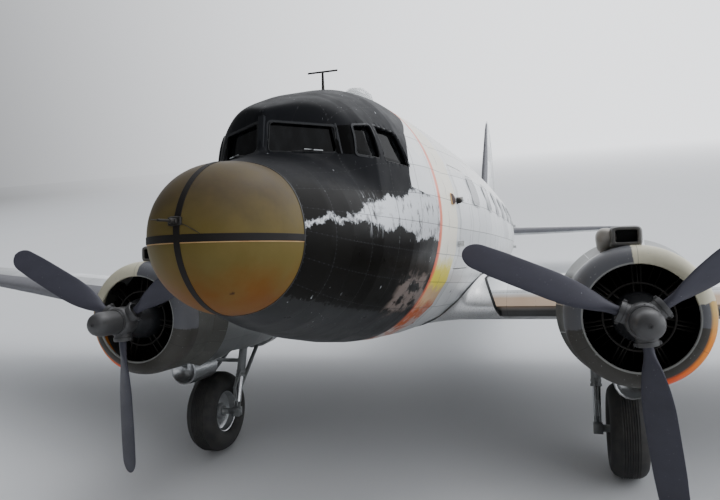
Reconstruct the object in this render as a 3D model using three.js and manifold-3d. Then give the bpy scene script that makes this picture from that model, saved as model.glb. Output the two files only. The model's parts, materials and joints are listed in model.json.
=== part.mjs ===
// A twin-engined military transport plane of the tail-dragging kind, parked on its gear.
// It is drawn level, in millimetres: x to port, y aft from the radome's tip, z up from just over the engines.
// At the end the whole aircraft is pitched to its ground angle and set down on z = 0.
import * as THREE from 'three';
import { mergeVertices } from 'three/addons/utils/BufferGeometryUtils.js';
import Module from 'manifold-3d';

const wasm = await Module();
wasm.setup();

// Driving dimensions
const SPAN = 29110;
const GROUND_ANGLE = THREE.MathUtils.degToRad(10.5);
const FIT = 0.6; // between pieces that touch
const RUNNING = 0.1; // between a pin's corners and the flats of its bore
const CLEAR = 8; // round a piece that moves

const ENGINE_OFFSET = 2820;
const ENGINE_HEIGHT = -100;
const PROPELLER_STATION = 3080;
const PROPELLER_RADIUS = 1765;
const COWL_FRONT = 3325;
const COWL_REAR = 4300;
const COWL_RADIUS = 700;
const COWL_INNER_RADIUS = 666;
const NACELLE_FRONT = 4250;

const WING_LEADING = 5080;
const WING_CHORD = 4318;
const WING_HEIGHT = -110;
const WING_INCIDENCE = THREE.MathUtils.degToRad(2);
const CENTRE_HALF_SPAN = 4000;
const DIHEDRAL = THREE.MathUtils.degToRad(6);
const LEADING_SWEEP = Math.tan(THREE.MathUtils.degToRad(15.5));
const TRAILING_SWEEP = 0.0145;
const PANEL_SPAN = (SPAN / 2 - CENTRE_HALF_SPAN) / Math.cos(DIHEDRAL);
const FLAP_STATION = 8638;
const AILERON_INNER = 4900;
const AILERON_OUTER = 9600;

const NOSE_REAR = 3300;
const CABIN_SPLIT = 9500; // the joint between the cabin's two skins, behind the wing
const CABIN_REAR = 14400;
const TAIL_REAR = 17760;
const WALL = 60;
const FLOOR_HEIGHT = 330;

const WHEEL_STATION = 5180;
const WHEEL_HEIGHT = -1630;
const WHEEL_RADIUS = 571.5;
const TAIL_WHEEL_RADIUS = 280;
const TAIL_WHEEL_STATION = 16450;
const TAIL_WHEEL_TRAIL = 130;

const TAILPLANE_HEIGHT = 1280;
const ELEVATOR_STATION = 17450;
const RUDDER_STATION = 17900;

// Paint and metal
const paint = (color, roughness, metalness = 0.1) =>
  new THREE.MeshStandardMaterial({ color, roughness, metalness });
const finish = {
  radome: paint(0xb3a06a, 0.45, 0),
  darkPaint: paint(0x2c2d30, 0.4),
  alloy: paint(0xb9bcbd, 0.35, 0.8),
  greyPaint: paint(0x8d8f90, 0.55),
  propellerGrey: paint(0x6f7076, 0.5, 0.3),
  steel: paint(0x7a7c7e, 0.35, 0.9),
  rubber: paint(0x1d1d1e, 0.9, 0),
  glass: new THREE.MeshStandardMaterial({ color: 0x30383c, roughness: 0.1, transparent: true, opacity: 0.4 }),
  interior: paint(0x5c6650, 0.8, 0),
};

// Geometry as solids, and solids as geometry
function solidOf(geometry) {
  const plain = geometry.index ? geometry.toNonIndexed() : geometry.clone();
  plain.deleteAttribute('normal');
  plain.deleteAttribute('uv');
  const merged = mergeVertices(plain, 1e-3);
  const corners = merged.index.array;
  const kept = [];
  for (let i = 0; i < corners.length; i += 3) {
    const [a, b, c] = [corners[i], corners[i + 1], corners[i + 2]];
    if (a !== b && b !== c && c !== a) kept.push(a, b, c);
  }
  return new wasm.Manifold(new wasm.Mesh({
    numProp: 3,
    vertProperties: merged.attributes.position.array,
    triVerts: new Uint32Array(kept),
  }));
}

function geometryOf(solid) {
  const mesh = solid.getMesh();
  const positions = new Float32Array(mesh.numVert * 3);
  for (let i = 0; i < mesh.numVert; i++) {
    positions.set(mesh.vertProperties.subarray(i * mesh.numProp, i * mesh.numProp + 3), i * 3);
  }
  const indexed = new THREE.BufferGeometry();
  indexed.setAttribute('position', new THREE.BufferAttribute(positions, 3));
  indexed.setIndex(new THREE.BufferAttribute(mesh.triVerts, 1));
  const geometry = indexed.toNonIndexed();
  geometry.computeVertexNormals();
  return geometry;
}

const join = (first, ...rest) => rest.reduce((sum, solid) => sum.add(solid), first);
const cut = (first, ...rest) => rest.reduce((left, solid) => left.subtract(solid), first);

function box(x0, x1, y0, y1, z0, z1) {
  const geometry = new THREE.BoxGeometry(x1 - x0, y1 - y0, z1 - z0);
  geometry.translate((x0 + x1) / 2, (y0 + y1) / 2, (z0 + z1) / 2);
  return solidOf(geometry);
}

// A straight round bar between two points, or a taper where the end radii differ.
function rod(from, to, radius, segments = 12, endRadius = radius) {
  const [a, b] = [new THREE.Vector3(...from), new THREE.Vector3(...to)];
  const along = b.clone().sub(a);
  const geometry = new THREE.CylinderGeometry(endRadius, radius, along.length(), segments);
  const turn = new THREE.Quaternion().setFromUnitVectors(new THREE.Vector3(0, 1, 0), along.normalize());
  geometry.applyQuaternion(turn);
  const middle = a.add(b).multiplyScalar(0.5);
  geometry.translate(middle.x, middle.y, middle.z);
  return solidOf(geometry);
}

// Round about an axis parallel to y: each point of the profile is [radius, station].
function turned(profile, segments, x = 0, z = 0) {
  const points = profile.map(([radius, station]) => new THREE.Vector2(radius, station));
  const geometry = new THREE.LatheGeometry([...points, points[0]], segments);
  let solid = solidOf(geometry);
  if (solid.volume() < 0) solid = solidOf(new THREE.LatheGeometry([...points, points[0]].reverse(), segments));
  const placed = geometryOf(solid).translate(x, 0, z);
  return solidOf(placed);
}

// A skin over rings of equal point counts, closed by a fan over each end ring.
function loft(rings) {
  const positions = [];
  const count = rings[0].length;
  const middle = (ring) => ring.reduce((sum, p) => sum.add(p), new THREE.Vector3()).divideScalar(count);
  const face = (a, b, c) => [a, b, c].forEach((p) => positions.push(p.x, p.y, p.z));
  for (let i = 0; i + 1 < rings.length; i++) {
    for (let j = 0; j < count; j++) {
      const k = (j + 1) % count;
      face(rings[i][j], rings[i + 1][j], rings[i + 1][k]);
      face(rings[i][j], rings[i + 1][k], rings[i][k]);
    }
  }
  const [first, last] = [rings[0], rings[rings.length - 1]];
  for (let j = 0; j < count; j++) {
    const k = (j + 1) % count;
    face(middle(first), first[j], first[k]);
    face(middle(last), last[k], last[j]);
  }
  const volume = signedVolume(positions);
  if (volume < 0) {
    for (let i = 0; i < positions.length; i += 9) {
      for (let c = 0; c < 3; c++) {
        [positions[i + 3 + c], positions[i + 6 + c]] = [positions[i + 6 + c], positions[i + 3 + c]];
      }
    }
  }
  const geometry = new THREE.BufferGeometry();
  geometry.setAttribute('position', new THREE.Float32BufferAttribute(positions, 3));
  return solidOf(geometry);
}

function signedVolume(positions) {
  const [a, b, c] = [new THREE.Vector3(), new THREE.Vector3(), new THREE.Vector3()];
  let sum = 0;
  for (let i = 0; i < positions.length; i += 9) {
    a.fromArray(positions, i);
    b.fromArray(positions, i + 3);
    c.fromArray(positions, i + 6);
    sum += a.dot(b.cross(c)) / 6;
  }
  return sum;
}

// An outline of [u, v] points, swept along x (u aft, v up), y (u to port, v up) or z (u to port, v aft)
function prism(outline, axis, from, to) {
  const shape = new THREE.Shape(outline.map(([u, v]) => new THREE.Vector2(u, v)));
  const geometry = new THREE.ExtrudeGeometry(shape, { depth: to - from, bevelEnabled: false });
  const [u, v, w] = {
    x: [[0, 1, 0], [0, 0, 1], [1, 0, 0]],
    y: [[1, 0, 0], [0, 0, 1], [0, -1, 0]],
    z: [[1, 0, 0], [0, 1, 0], [0, 0, 1]],
  }[axis].map((direction) => new THREE.Vector3(...direction));
  geometry.applyMatrix4(new THREE.Matrix4().makeBasis(u, v, w));
  const start = axis === 'x' ? [from, 0, 0] : axis === 'y' ? [0, to, 0] : [0, 0, from];
  geometry.translate(...start);
  return solidOf(geometry);
}

// Everything in front of a plane, which is to be cut away
function frontOf(point, normal, reach = 6000) {
  const geometry = new THREE.BoxGeometry(reach, reach, reach);
  geometry.translate(0, 0, reach / 2);
  geometry.applyQuaternion(new THREE.Quaternion().setFromUnitVectors(new THREE.Vector3(0, 0, 1), normal));
  geometry.translate(point.x, point.y, point.z);
  return solidOf(geometry);
}

function mirrored(solid) {
  const geometry = geometryOf(solid);
  const array = geometry.attributes.position.array;
  for (let i = 0; i < array.length; i += 9) {
    for (let c = 0; c < 3; c++) [array[i + c], array[i + 3 + c]] = [array[i + 3 + c], array[i + c]];
  }
  for (let i = 0; i < array.length; i += 3) array[i] = -array[i];
  return solidOf(geometry);
}

function piece(name, solid, material) {
  const mesh = new THREE.Mesh(geometryOf(solid), material);
  mesh.name = name;
  return mesh;
}

// Fuselage: station, half-width, top, bottom, the height where it is widest, and how square its upper half is
const section = ([station, halfWidth, top, bottom, widest, fullness = 2]) =>
  ({ station, halfWidth, top, bottom, widest, fullness });
const HOOD = [
  [640, 520, 1220, 180, 700, 2.3],
  [900, 618, 1290, 82, 706, 2.2],
  [1150, 694, 1344, 5, 715, 2.1],
  [1600, 798, 1440, -100, 740],
  [2200, 905, 1560, -205, 790],
  [2750, 980, 1880, -278, 850],
  [NOSE_REAR, 1035, 2228, -330, 900],
].map(section);
const CABIN = [
  [NOSE_REAR, 1035, 2235, -330, 900],
  [4000, 1115, 2250, -372, 925],
  [5100, 1210, 2255, -400, 935],
  [6200, 1245, 2255, -400, 935],
  [8300, 1245, 2250, -395, 935],
  [9300, 1240, 2240, -300, 940],
  [10600, 1200, 2215, -205, 955],
  [12000, 1115, 2175, -65, 980],
  [13300, 1000, 2125, 110, 1020],
  [CABIN_REAR, 870, 2070, 295, 1060],
].map(section);
const TAIL = [
  [CABIN_REAR, 870, 2070, 295, 1060],
  [15600, 700, 1995, 545, 1150],
  [16700, 505, 1915, 810, 1270],
  [17400, 350, 1850, 990, 1380],
  [TAIL_REAR, 255, 1810, 1080, 1430],
].map(section);
const RING_POINTS = 24;

// A point of the unit ring, squarer than a circle over its upper half where the fullness is above 2
function rounded(angle, fullness) {
  const [across, up] = [Math.sin(angle), Math.cos(angle)];
  if (up <= 1e-9 || fullness === 2) return [across, up];
  return [Math.sign(across) * Math.abs(across) ** (2 / fullness), up ** (2 / fullness)];
}

function fuselageRing(s, inset = 0, station = s.station) {
  return Array.from({ length: RING_POINTS }, (_, i) => {
    const angle = (i / RING_POINTS) * 2 * Math.PI;
    const [across, up] = rounded(angle, s.fullness);
    const reach = (up >= 0 ? s.top - s.widest : s.widest - s.bottom) - inset;
    return new THREE.Vector3((s.halfWidth - inset) * across, station, s.widest + reach * up);
  });
}

const fuselageBody = (sections, inset = 0) => loft(sections.map((s) => fuselageRing(s, inset)));

// The section at any station, between the two rows of the table round it
function sectionAt(sections, station) {
  const i = Math.max(1, sections.findIndex((s) => s.station >= station));
  const [a, b] = [sections[i - 1], sections[i]];
  const t = (station - a.station) / (b.station - a.station);
  const between = (key) => a[key] + (b[key] - a[key]) * t;
  return { station, halfWidth: between('halfWidth'), top: between('top'), bottom: between('bottom'),
    widest: between('widest'), fullness: between('fullness') };
}

// Cockpit roof: an arch whose station, half-width, top, springing height and fullness come from this table
const ROOF = [
  [1000, 470, 1640, 1200, 3.2],
  [1450, 552, 1840, 1185, 3.1],
  [1600, 668, 1905, 1172, 2.5],
  [1700, 732, 1945, 1160, 2.35],
  [2200, 862, 2095, 1080, 2.3],
  [2750, 962, 2190, 970, 2.1],
  [NOSE_REAR, 1035, 2235, 900, 2],
];
const ARCH_POINTS = 12;
const ARCH_SKIRT = 40;
const WINDSCREEN_FOOT = new THREE.Vector3(0, 1085, 1340);
const WINDSCREEN_CORNER = new THREE.Vector3(510, 1445, 1366);
const WINDSCREEN_HEAD = new THREE.Vector3(0, 1125, 1640);

function roofRing([station, halfWidth, top, springing, fullness], inset) {
  const ring = Array.from({ length: ARCH_POINTS + 1 }, (_, i) => {
    const [across, up] = rounded(Math.PI / 2 - (i / ARCH_POINTS) * Math.PI, fullness);
    const reach = top - inset - springing;
    return new THREE.Vector3((halfWidth - inset) * across, station, springing + reach * up);
  });
  const skirt = springing - ARCH_SKIRT + inset / 2;
  ring.push(new THREE.Vector3(inset - halfWidth, station, skirt));
  ring.push(new THREE.Vector3(halfWidth - inset, station, skirt));
  return ring;
}

// The two panes stand in a vee: what lies in front of either is cut away from the roof.
function windscreenPlane(side, inset) {
  const mirror = new THREE.Vector3(side, 1, 1);
  const [foot, corner, head] = [WINDSCREEN_FOOT, WINDSCREEN_CORNER, WINDSCREEN_HEAD]
    .map((p) => p.clone().multiply(mirror));
  const normal = corner.sub(foot).cross(head.sub(foot)).normalize();
  if (normal.y > 0) normal.negate();
  return frontOf(foot.addScaledVector(normal, -inset), normal);
}

// Nose and cockpit as one solid, drawn in by the inset
function noseBody(inset, rear = 0) {
  const hoodRings = HOOD.map((s) => fuselageRing(s, inset));
  hoodRings[0] = fuselageRing(HOOD[0], inset, HOOD[0].station + inset);
  const roofRings = ROOF.map((row) => roofRing(row, inset));
  if (rear) {
    hoodRings.push(fuselageRing(HOOD[HOOD.length - 1], inset, NOSE_REAR + rear));
    const last = ROOF[ROOF.length - 1];
    roofRings.push(roofRing([NOSE_REAR + rear, ...last.slice(1)], inset));
  }
  const roof = cut(loft(roofRings), windscreenPlane(1, inset), windscreenPlane(-1, inset));
  return join(loft(hoodRings), roof);
}

// Window outlines: the pane's corners seen from the front ([across, up]) and the side panes' ([aft, up])
const FRONT_PANE = [[42, 1366], [490, 1370], [474, 1582], [46, 1602]];
const SIDE_PANES = [
  [[1534, 1362], [1778, 1350], [1795, 1645], [1560, 1606]],
  [[1838, 1347], [2300, 1340], [2190, 1640], [1850, 1655]],
];
const REBATE = 14;
const GLASS_FRONT = 34;
const GLASS_BACK = 46;

function grownOutline(outline, by) {
  const cx = outline.reduce((sum, p) => sum + p[0], 0) / outline.length;
  const cy = outline.reduce((sum, p) => sum + p[1], 0) / outline.length;
  return outline.map(([u, v]) => [u + Math.sign(u - cx) * by, v + Math.sign(v - cy) * by]);
}

// One pane over both side openings, behind the post between them
const SIDE_GLASS = [SIDE_PANES[0][0], SIDE_PANES[1][1], SIDE_PANES[1][2], SIDE_PANES[0][3]];
const frontPrism = (outline) => prism(outline, 'y', 950, 1900);
const sidePrism = (outline) => prism(outline, 'x', 250, 1400);

function buildNose(group) {
  let shell = cut(noseBody(0), noseBody(WALL, 200));
  const behindGlassFront = noseBody(GLASS_FRONT);
  const glassLayer = cut(noseBody(GLASS_FRONT + FIT), noseBody(GLASS_BACK));
  const panes = [
    { name: 'windscreen', openings: [FRONT_PANE], glass: FRONT_PANE, sweep: frontPrism },
    { name: 'side_window', openings: SIDE_PANES, glass: SIDE_GLASS, sweep: sidePrism },
  ];
  for (const { name, openings, glass, sweep } of panes) {
    const opening = join(...openings.map(sweep));
    const rebate = sweep(grownOutline(glass, REBATE)).intersect(behindGlassFront);
    const fitted = sweep(grownOutline(glass, REBATE - FIT)).intersect(glassLayer);
    shell = cut(shell, opening, rebate, mirrored(opening), mirrored(rebate));
    group.add(piece(`${name}_left`, fitted, finish.glass));
    group.add(piece(`${name}_right`, mirrored(fitted), finish.glass));
  }
  group.add(piece('nose_section', shell, finish.darkPaint));
}

// Radome: a blunt dome over the front frame
function buildRadome(group) {
  const { station, halfWidth, widest, fullness } = HOOD[0];
  const rings = [5, 30, 90, 190, 330, station - FIT].map((y) => {
    const t = (station - y) / station;
    const radius = halfWidth * Math.pow(1 - Math.pow(t, 2.1), 0.53);
    return Array.from({ length: RING_POINTS }, (_, i) => {
      const angle = (i / RING_POINTS) * 2 * Math.PI;
      const [across, up] = rounded(angle, 2 + (fullness - 2) * (1 - t));
      return new THREE.Vector3(radius * across, y, widest + radius * up);
    });
  });
  group.add(piece('radome', loft(rings), finish.radome));
}

// Wing sections
const AIRFOIL_POINTS = 8;

function airfoilRing({ x, leading, chord, thickness, height, camber = 0.02 }, grow = 0) {
  const ring = [];
  const place = (share, upper) => {
    const half = 5 * thickness * (0.2969 * Math.sqrt(share) - 0.126 * share - 0.3516 * share ** 2
      + 0.2843 * share ** 3 - 0.1015 * share ** 4) * chord + (share ? grow : 0);
    const mean = camberHeight(share, camber) * chord;
    const station = leading - grow + share * (chord + 2 * grow);
    ring.push(new THREE.Vector3(x, station, height + mean + (upper ? half : -half)
      - Math.tan(WING_INCIDENCE) * (station - leading) * (camber ? 1 : 0)));
  };
  for (let i = 0; i <= AIRFOIL_POINTS; i++) place((1 - Math.cos((i / AIRFOIL_POINTS) * Math.PI)) / 2, true);
  for (let i = AIRFOIL_POINTS; i > 0; i--) place((1 - Math.cos((i / AIRFOIL_POINTS) * Math.PI)) / 2, false);
  return ring;
}

// Camber of the four-digit kind, highest at the camber's peak
const CAMBER_PEAK = 0.2;
function camberHeight(share, camber) {
  return share < CAMBER_PEAK
    ? (camber / CAMBER_PEAK ** 2) * (2 * CAMBER_PEAK * share - share ** 2)
    : (camber / (1 - CAMBER_PEAK) ** 2) * (1 - 2 * CAMBER_PEAK + 2 * CAMBER_PEAK * share - share ** 2);
}

const ROOT_THICKNESS = 0.15;
const centreSection = (x, grow) => airfoilRing({ x, leading: WING_LEADING, chord: WING_CHORD,
  thickness: ROOT_THICKNESS, height: WING_HEIGHT }, grow);
const wingCentreBody = (grow = 0) =>
  loft([centreSection(-CENTRE_HALF_SPAN, grow), centreSection(CENTRE_HALF_SPAN, grow)]);

// The outer panel lies flat in its own frame: x out from the joint, y aft, z up from the centre wing's height.
const TIP_START = 9700;
function panelSection(x) {
  const leading = WING_LEADING + x * LEADING_SWEEP;
  const trailing = WING_LEADING + WING_CHORD - x * TRAILING_SWEEP;
  const thickness = ROOT_THICKNESS - 0.085 * Math.max(0, x) / PANEL_SPAN;
  const past = Math.max(0, (x - TIP_START) / (PANEL_SPAN - TIP_START));
  const share = Math.sqrt(Math.max(0, 1 - past ** 2.2));
  const chord = (trailing - leading) * share;
  return { x, leading: leading + 0.55 * (trailing - leading - chord), chord, thickness, height: 0 };
}

const PANEL_RINGS = [-150, AILERON_INNER, AILERON_OUTER, 10050, 10350, 10530, 10580];
const outerPanelBody = () => loft(PANEL_RINGS.map((x) => airfoilRing(panelSection(x))));

// Height of a wing section's lower skin at a station
function lowerSkin({ leading, chord, thickness, height }, station) {
  const share = (station - leading) / chord;
  const half = 5 * thickness * (0.2969 * Math.sqrt(share) - 0.126 * share - 0.3516 * share ** 2
    + 0.2843 * share ** 3 - 0.1015 * share ** 4) * chord;
  return height + camberHeight(share, 0.02) * chord - half - Math.tan(WING_INCIDENCE) * (station - leading);
}

function meanLine({ leading, chord, height, camber = 0.02 }, station) {
  const drop = camber ? Math.tan(WING_INCIDENCE) * (station - leading) : 0;
  return height + camberHeight((station - leading) / chord, camber) * chord - drop;
}

// Hinges: ears on the fixed surface carry short pins, which turn in bores on either side of a slot.
const PIN_RADIUS = 10;
const EAR_HALF_WIDTH = 10;
const SLOT_HALF_WIDTH = 17;
const PIN_REACH = 30;
const PIN_SEGMENTS = 8;
const BORE_SEGMENTS = 12;
const boreRadius = (radius, segments = BORE_SEGMENTS) => (radius + RUNNING) / Math.cos(Math.PI / segments);

function hinges(fixed, moving, from, to, nose, shares, pinRadius = PIN_RADIUS) {
  const [a, b] = [new THREE.Vector3(...from), new THREE.Vector3(...to)];
  const along = b.clone().sub(a).normalize();
  for (const share of shares) {
    const middle = a.clone().lerp(b, share);
    const radius = nose[0] + (nose[1] - nose[0]) * share;
    const { x, y, z } = middle;
    const ear = box(x - EAR_HALF_WIDTH, x + EAR_HALF_WIDTH, y - radius - CLEAR - 40, y + pinRadius + 2,
      z - pinRadius - 2, z + pinRadius + 2);
    const slotBack = y + pinRadius + 12;
    const slot = box(x - SLOT_HALF_WIDTH, x + SLOT_HALF_WIDTH, y - radius - 60, slotBack, z - 400, z + 400);
    const ends = (reach) => [middle.clone().addScaledVector(along, -reach).toArray(),
      middle.clone().addScaledVector(along, reach).toArray()];
    const pin = rod(...ends(PIN_REACH), pinRadius, PIN_SEGMENTS);
    const bore = rod(...ends(PIN_REACH + 3), boreRadius(pinRadius), BORE_SEGMENTS);
    fixed = join(fixed, ear, pin);
    moving = cut(moving, slot, bore);
  }
  return [fixed, moving];
}

// Splits a control off a surface that lies flat: hinge from and to are points, nose is its radius at each.
// An open end runs on past the tip; the inner edge slants outboard by the inner trail and is cleared from clearFrom.
function splitControl(surface, options) {
  const { from, to, nose, shares, innerTrail = 0, clearFrom = options.from[0], openEnd = 0 } = options;
  const far = 22000;
  const end = to[0] + openEnd;
  const slope = (to[1] - from[1]) / (to[0] - from[0]);
  const line = (x) => from[1] + slope * (x - from[0]);
  const gapped = [[from[0] + CLEAR, from[1]], [end - CLEAR, line(end)], [end - CLEAR, far],
    [from[0] + CLEAR + innerTrail * (far - from[1]), far]];
  const cleared = [[clearFrom, line(clearFrom) - nose[0] - CLEAR], [end, line(end) - nose[1] - CLEAR],
    [end, far], [clearFrom, far]];
  const inward = (p, q) => p.map((value, i) => value + (Math.sign(q[0] - p[0]) * CLEAR * (q[i] - p[i]))
    / (q[0] - p[0]));
  const leadingTube = rod(inward(from, to), inward(to, from), nose[0], 12, nose[1]);
  const moving = join(surface.intersect(prism(gapped, 'z', -900, 2500)), leadingTube);
  const fixed = cut(surface, prism(cleared, 'z', -900, 2500));
  return hinges(fixed, moving, from, to, nose, shares);
}

// Split flap: a thin plate flush with the lower skin. Each section gives x and the wing section there.
const FLAP_TRAIL = 130;
const FLAP_THICK = [26, 14];
function flapSolids(sections, grow) {
  return loft(sections.map((s, i) => {
    const rear = s.leading + s.chord - FLAP_TRAIL + grow;
    const front = FLAP_STATION - 1.5 * grow;
    const x = s.x + (i ? grow : -grow);
    const below = grow ? 60 : 0;
    const [zFront, zRear] = [lowerSkin(s, front), lowerSkin(s, rear)];
    return [[front, zFront - below], [rear, zRear - below], [rear, zRear + FLAP_THICK[1] + grow],
      [front, zFront + FLAP_THICK[0] + 1.5 * grow]].map(([y, z]) => new THREE.Vector3(x, y, z));
  }));
}

const FLAP_PIN = 5;
const FLAP_AXIS_BACK = 14;
const FLAP_AXIS_UP = 13;
function splitFlap(wing, sections, shares) {
  const axis = sections.map((s) => [s.x, FLAP_STATION + FLAP_AXIS_BACK,
    lowerSkin(s, FLAP_STATION) + FLAP_AXIS_UP]);
  const plate = flapSolids(sections, 0);
  const recess = flapSolids(sections, CLEAR);
  return hinges(cut(wing, recess), plate, axis[0], axis[1], [FLAP_AXIS_BACK, FLAP_AXIS_BACK], shares, FLAP_PIN);
}

function buildWing(group) {
  const centreFlap = [-3960, 3960].map((x) => ({ x, leading: WING_LEADING, chord: WING_CHORD,
    thickness: ROOT_THICKNESS, height: WING_HEIGHT }));
  const [centre, flap] = splitFlap(wingCentreBody(), centreFlap, [0.15, 0.85]);
  group.add(piece('wing_centre_section', centre, finish.greyPaint));
  group.add(piece('flap_centre', flap, finish.greyPaint));

  const rootCut = turnedRoot();
  const onMeanLine = (x, station) => [x, station, meanLine(panelSection(x), station)];
  const [withCove, aileron] = splitControl(cut(outerPanelBody(), rootCut), {
    from: onMeanLine(AILERON_INNER, 8640), to: onMeanLine(AILERON_OUTER, 8860), nose: [68, 26],
    shares: [0.2, 0.8] });
  const [panel, outerFlap] = splitFlap(withCove, [60, AILERON_INNER - 30].map(panelSection), [0.15, 0.85]);
  for (const [side, sign] of [['left', 1], ['right', -1]]) {
    const mirror = new THREE.Group();
    mirror.scale.x = sign;
    const panelGroup = new THREE.Group();
    panelGroup.position.set(CENTRE_HALF_SPAN, 0, WING_HEIGHT);
    panelGroup.rotation.y = -DIHEDRAL;
    panelGroup.add(piece(`wing_outer_${side}`, panel, finish.greyPaint));
    panelGroup.add(piece(`aileron_${side}`, aileron, finish.greyPaint));
    panelGroup.add(piece(`flap_${side}`, outerFlap, finish.greyPaint));
    mirror.add(panelGroup);
    group.add(mirror);
  }
}

// What the raised panel's root would push into the centre section
function turnedRoot() {
  const geometry = new THREE.BoxGeometry(1000, 6000, 3000);
  geometry.translate(-500 + FIT, WING_LEADING + 2000, 0);
  geometry.applyMatrix4(new THREE.Matrix4().makeRotationY(DIHEDRAL));
  return solidOf(geometry);
}

// Straight cuts through the fuselage skin for the wing that runs under the cabin
const BELLY_CUT = [[6150, -1000], [9400, -1000], [9400, -262], [6150, -200]];

// A hollow length of fuselage, open at the ends that are given a reach
function barrel(sections, openFront, openRear) {
  const [first, last] = [sections[0], sections[sections.length - 1]];
  const inner = [fuselageRing(first, WALL, first.station - openFront)];
  inner.push(...sections.slice(1, -1).map((s) => fuselageRing(s, WALL)));
  inner.push(fuselageRing(last, WALL, last.station + openRear));
  return cut(fuselageBody(sections), loft(inner));
}

// Doors in the port side: opening from and to (station), sill and head (height), and the leaf's hinge edge
const DOORS = [
  { name: 'crew_door', from: 3760, to: 4400, sill: 400, head: 1560, hingedAt: 'front', axisOut: 24 },
  { name: 'cargo_door_front', from: 11950, to: 12950, sill: 360, head: 1880, hingedAt: 'front', axisOut: 24 },
  { name: 'cargo_door_rear', from: 12950, to: 13950, sill: 360, head: 1880, hingedAt: 'rear', axisOut: 24 },
];
const DOOR_PIN = 8;
const MEETING_STATION = 12950;
const MEETING_BEVEL = 80;
const HINGE_SPREAD = 240;

// The hinge line stands upright, just outside the skin and beside the opening.
function doorAxis({ from, to, hingedAt, axisOut }) {
  const station = hingedAt === 'front' ? from - 20 : to + 20;
  const { halfWidth, widest } = sectionAt(CABIN, hingedAt === 'front' ? from : to);
  return { x: halfWidth + axisOut, y: station, z: widest };
}

function hangDoor(shell, leaf, door) {
  const { x, y, z } = doorAxis(door);
  const toward = door.hingedAt === 'front' ? 1 : -1;
  const span = (a, b) => [Math.min(y + toward * a, y + toward * b), Math.max(y + toward * a, y + toward * b)];
  for (const height of [z - HINGE_SPREAD, z + HINGE_SPREAD]) {
    const strap = box(x - 12, x + 12, ...span(-12, 70), height - 12, height + 12);
    const lug = box(x - 105, x + 12, ...span(34, 70), height - 12, height + 12);
    const bore = rod([x, y, height - 20], [x, y, height + 20], boreRadius(DOOR_PIN), BORE_SEGMENTS);
    const pin = rod([x, y, height - 30], [x, y, height + 30], DOOR_PIN, PIN_SEGMENTS);
    const ears = [14, -30].map((up) => box(x - 95, x + 12, y - 12, y + 12, height + up, height + up + 16));
    leaf = cut(join(leaf, strap, lug), bore);
    shell = join(shell, ...ears, pin);
  }
  return [shell, leaf];
}

// The meeting edges of the two cargo leaves slope from the outer to the inner skin, so that either swings alone.
function meetingWedge(toward) {
  const at = (station) => sectionAt(CABIN, station);
  const outer = MEETING_STATION - toward * CLEAR / 2;
  const inner = outer - toward * MEETING_BEVEL;
  const beyond = outer + toward * 3000;
  return loft([
    fuselageRing(at(inner), WALL + 2, inner - toward * 0.01),
    fuselageRing(at(outer), -1, outer),
    fuselageRing(at(outer), -400, beyond),
  ]);
}

function buildCabin(group) {
  const sections = CABIN.map((s, i) => (i ? s : { ...s, station: s.station + FIT }));
  const whole = barrel(sections, 200, 200);
  let shell = whole;
  for (const door of DOORS) {
    const { from, to, sill, head } = door;
    const meets = door.name.startsWith('cargo');
    const outline = (gap) => [[from + gap, sill + gap], [to - gap, sill + gap], [to - gap, head - gap],
      [from + gap, head - gap]];
    shell = cut(shell, prism(outline(0), 'x', 200, 2000));
    door.solid = whole.intersect(prism(meets ? outline(0) : outline(CLEAR), 'x', 200, 2000));
    if (meets) {
      const toward = door.hingedAt === 'front' ? 1 : -1;
      const front = from + (toward > 0 ? CLEAR : -50);
      const rear = to + (toward > 0 ? 50 : -CLEAR);
      const clear = [[front, sill + CLEAR], [rear, sill + CLEAR], [rear, head - CLEAR], [front, head - CLEAR]];
      door.solid = cut(door.solid.intersect(prism(clear, 'x', 200, 2000)), meetingWedge(toward));
    }
  }
  for (const door of DOORS) {
    const [withEars, leaf] = hangDoor(shell, door.solid, door);
    shell = withEars;
    group.add(piece(door.name, leaf, finish.alloy));
  }
  const { y, radius } = ASTRODOME;
  shell = cut(shell, wingCentreBody(FIT), prism(BELLY_CUT, 'x', -1500, 1500),
    rod([0, y, 1900], [0, y, 2600], radius - 25, 16));
  const ahead = box(-1600, 1600, 0, CABIN_SPLIT - FIT, -900, 2900);
  const behind = box(-1600, 1600, CABIN_SPLIT, CABIN_REAR + 10, -900, 2900);
  group.add(piece('cabin_front', shell.intersect(ahead), finish.alloy));
  group.add(piece('cabin_rear', shell.intersect(behind), finish.alloy));

  const room = loft(CABIN.map((s) => fuselageRing(s, WALL + FIT)));
  const floor = box(-1300, 1300, NOSE_REAR + 34, 14150, FLOOR_HEIGHT - 40, FLOOR_HEIGHT);
  group.add(piece('cabin_floor', floor.intersect(room), finish.greyPaint));
  const bulkhead = cut(box(-1300, 1300, NOSE_REAR + 3, NOSE_REAR + 33, -500, 2500).intersect(room),
    box(-330, 330, NOSE_REAR - 50, NOSE_REAR + 100, FLOOR_HEIGHT, 1950));
  group.add(piece('bulkhead', bulkhead, finish.interior));
}

// A clear blister in the cabin roof behind the cockpit
const ASTRODOME = { y: 3535, radius: 212, height: 225, glass: 8 };

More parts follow.
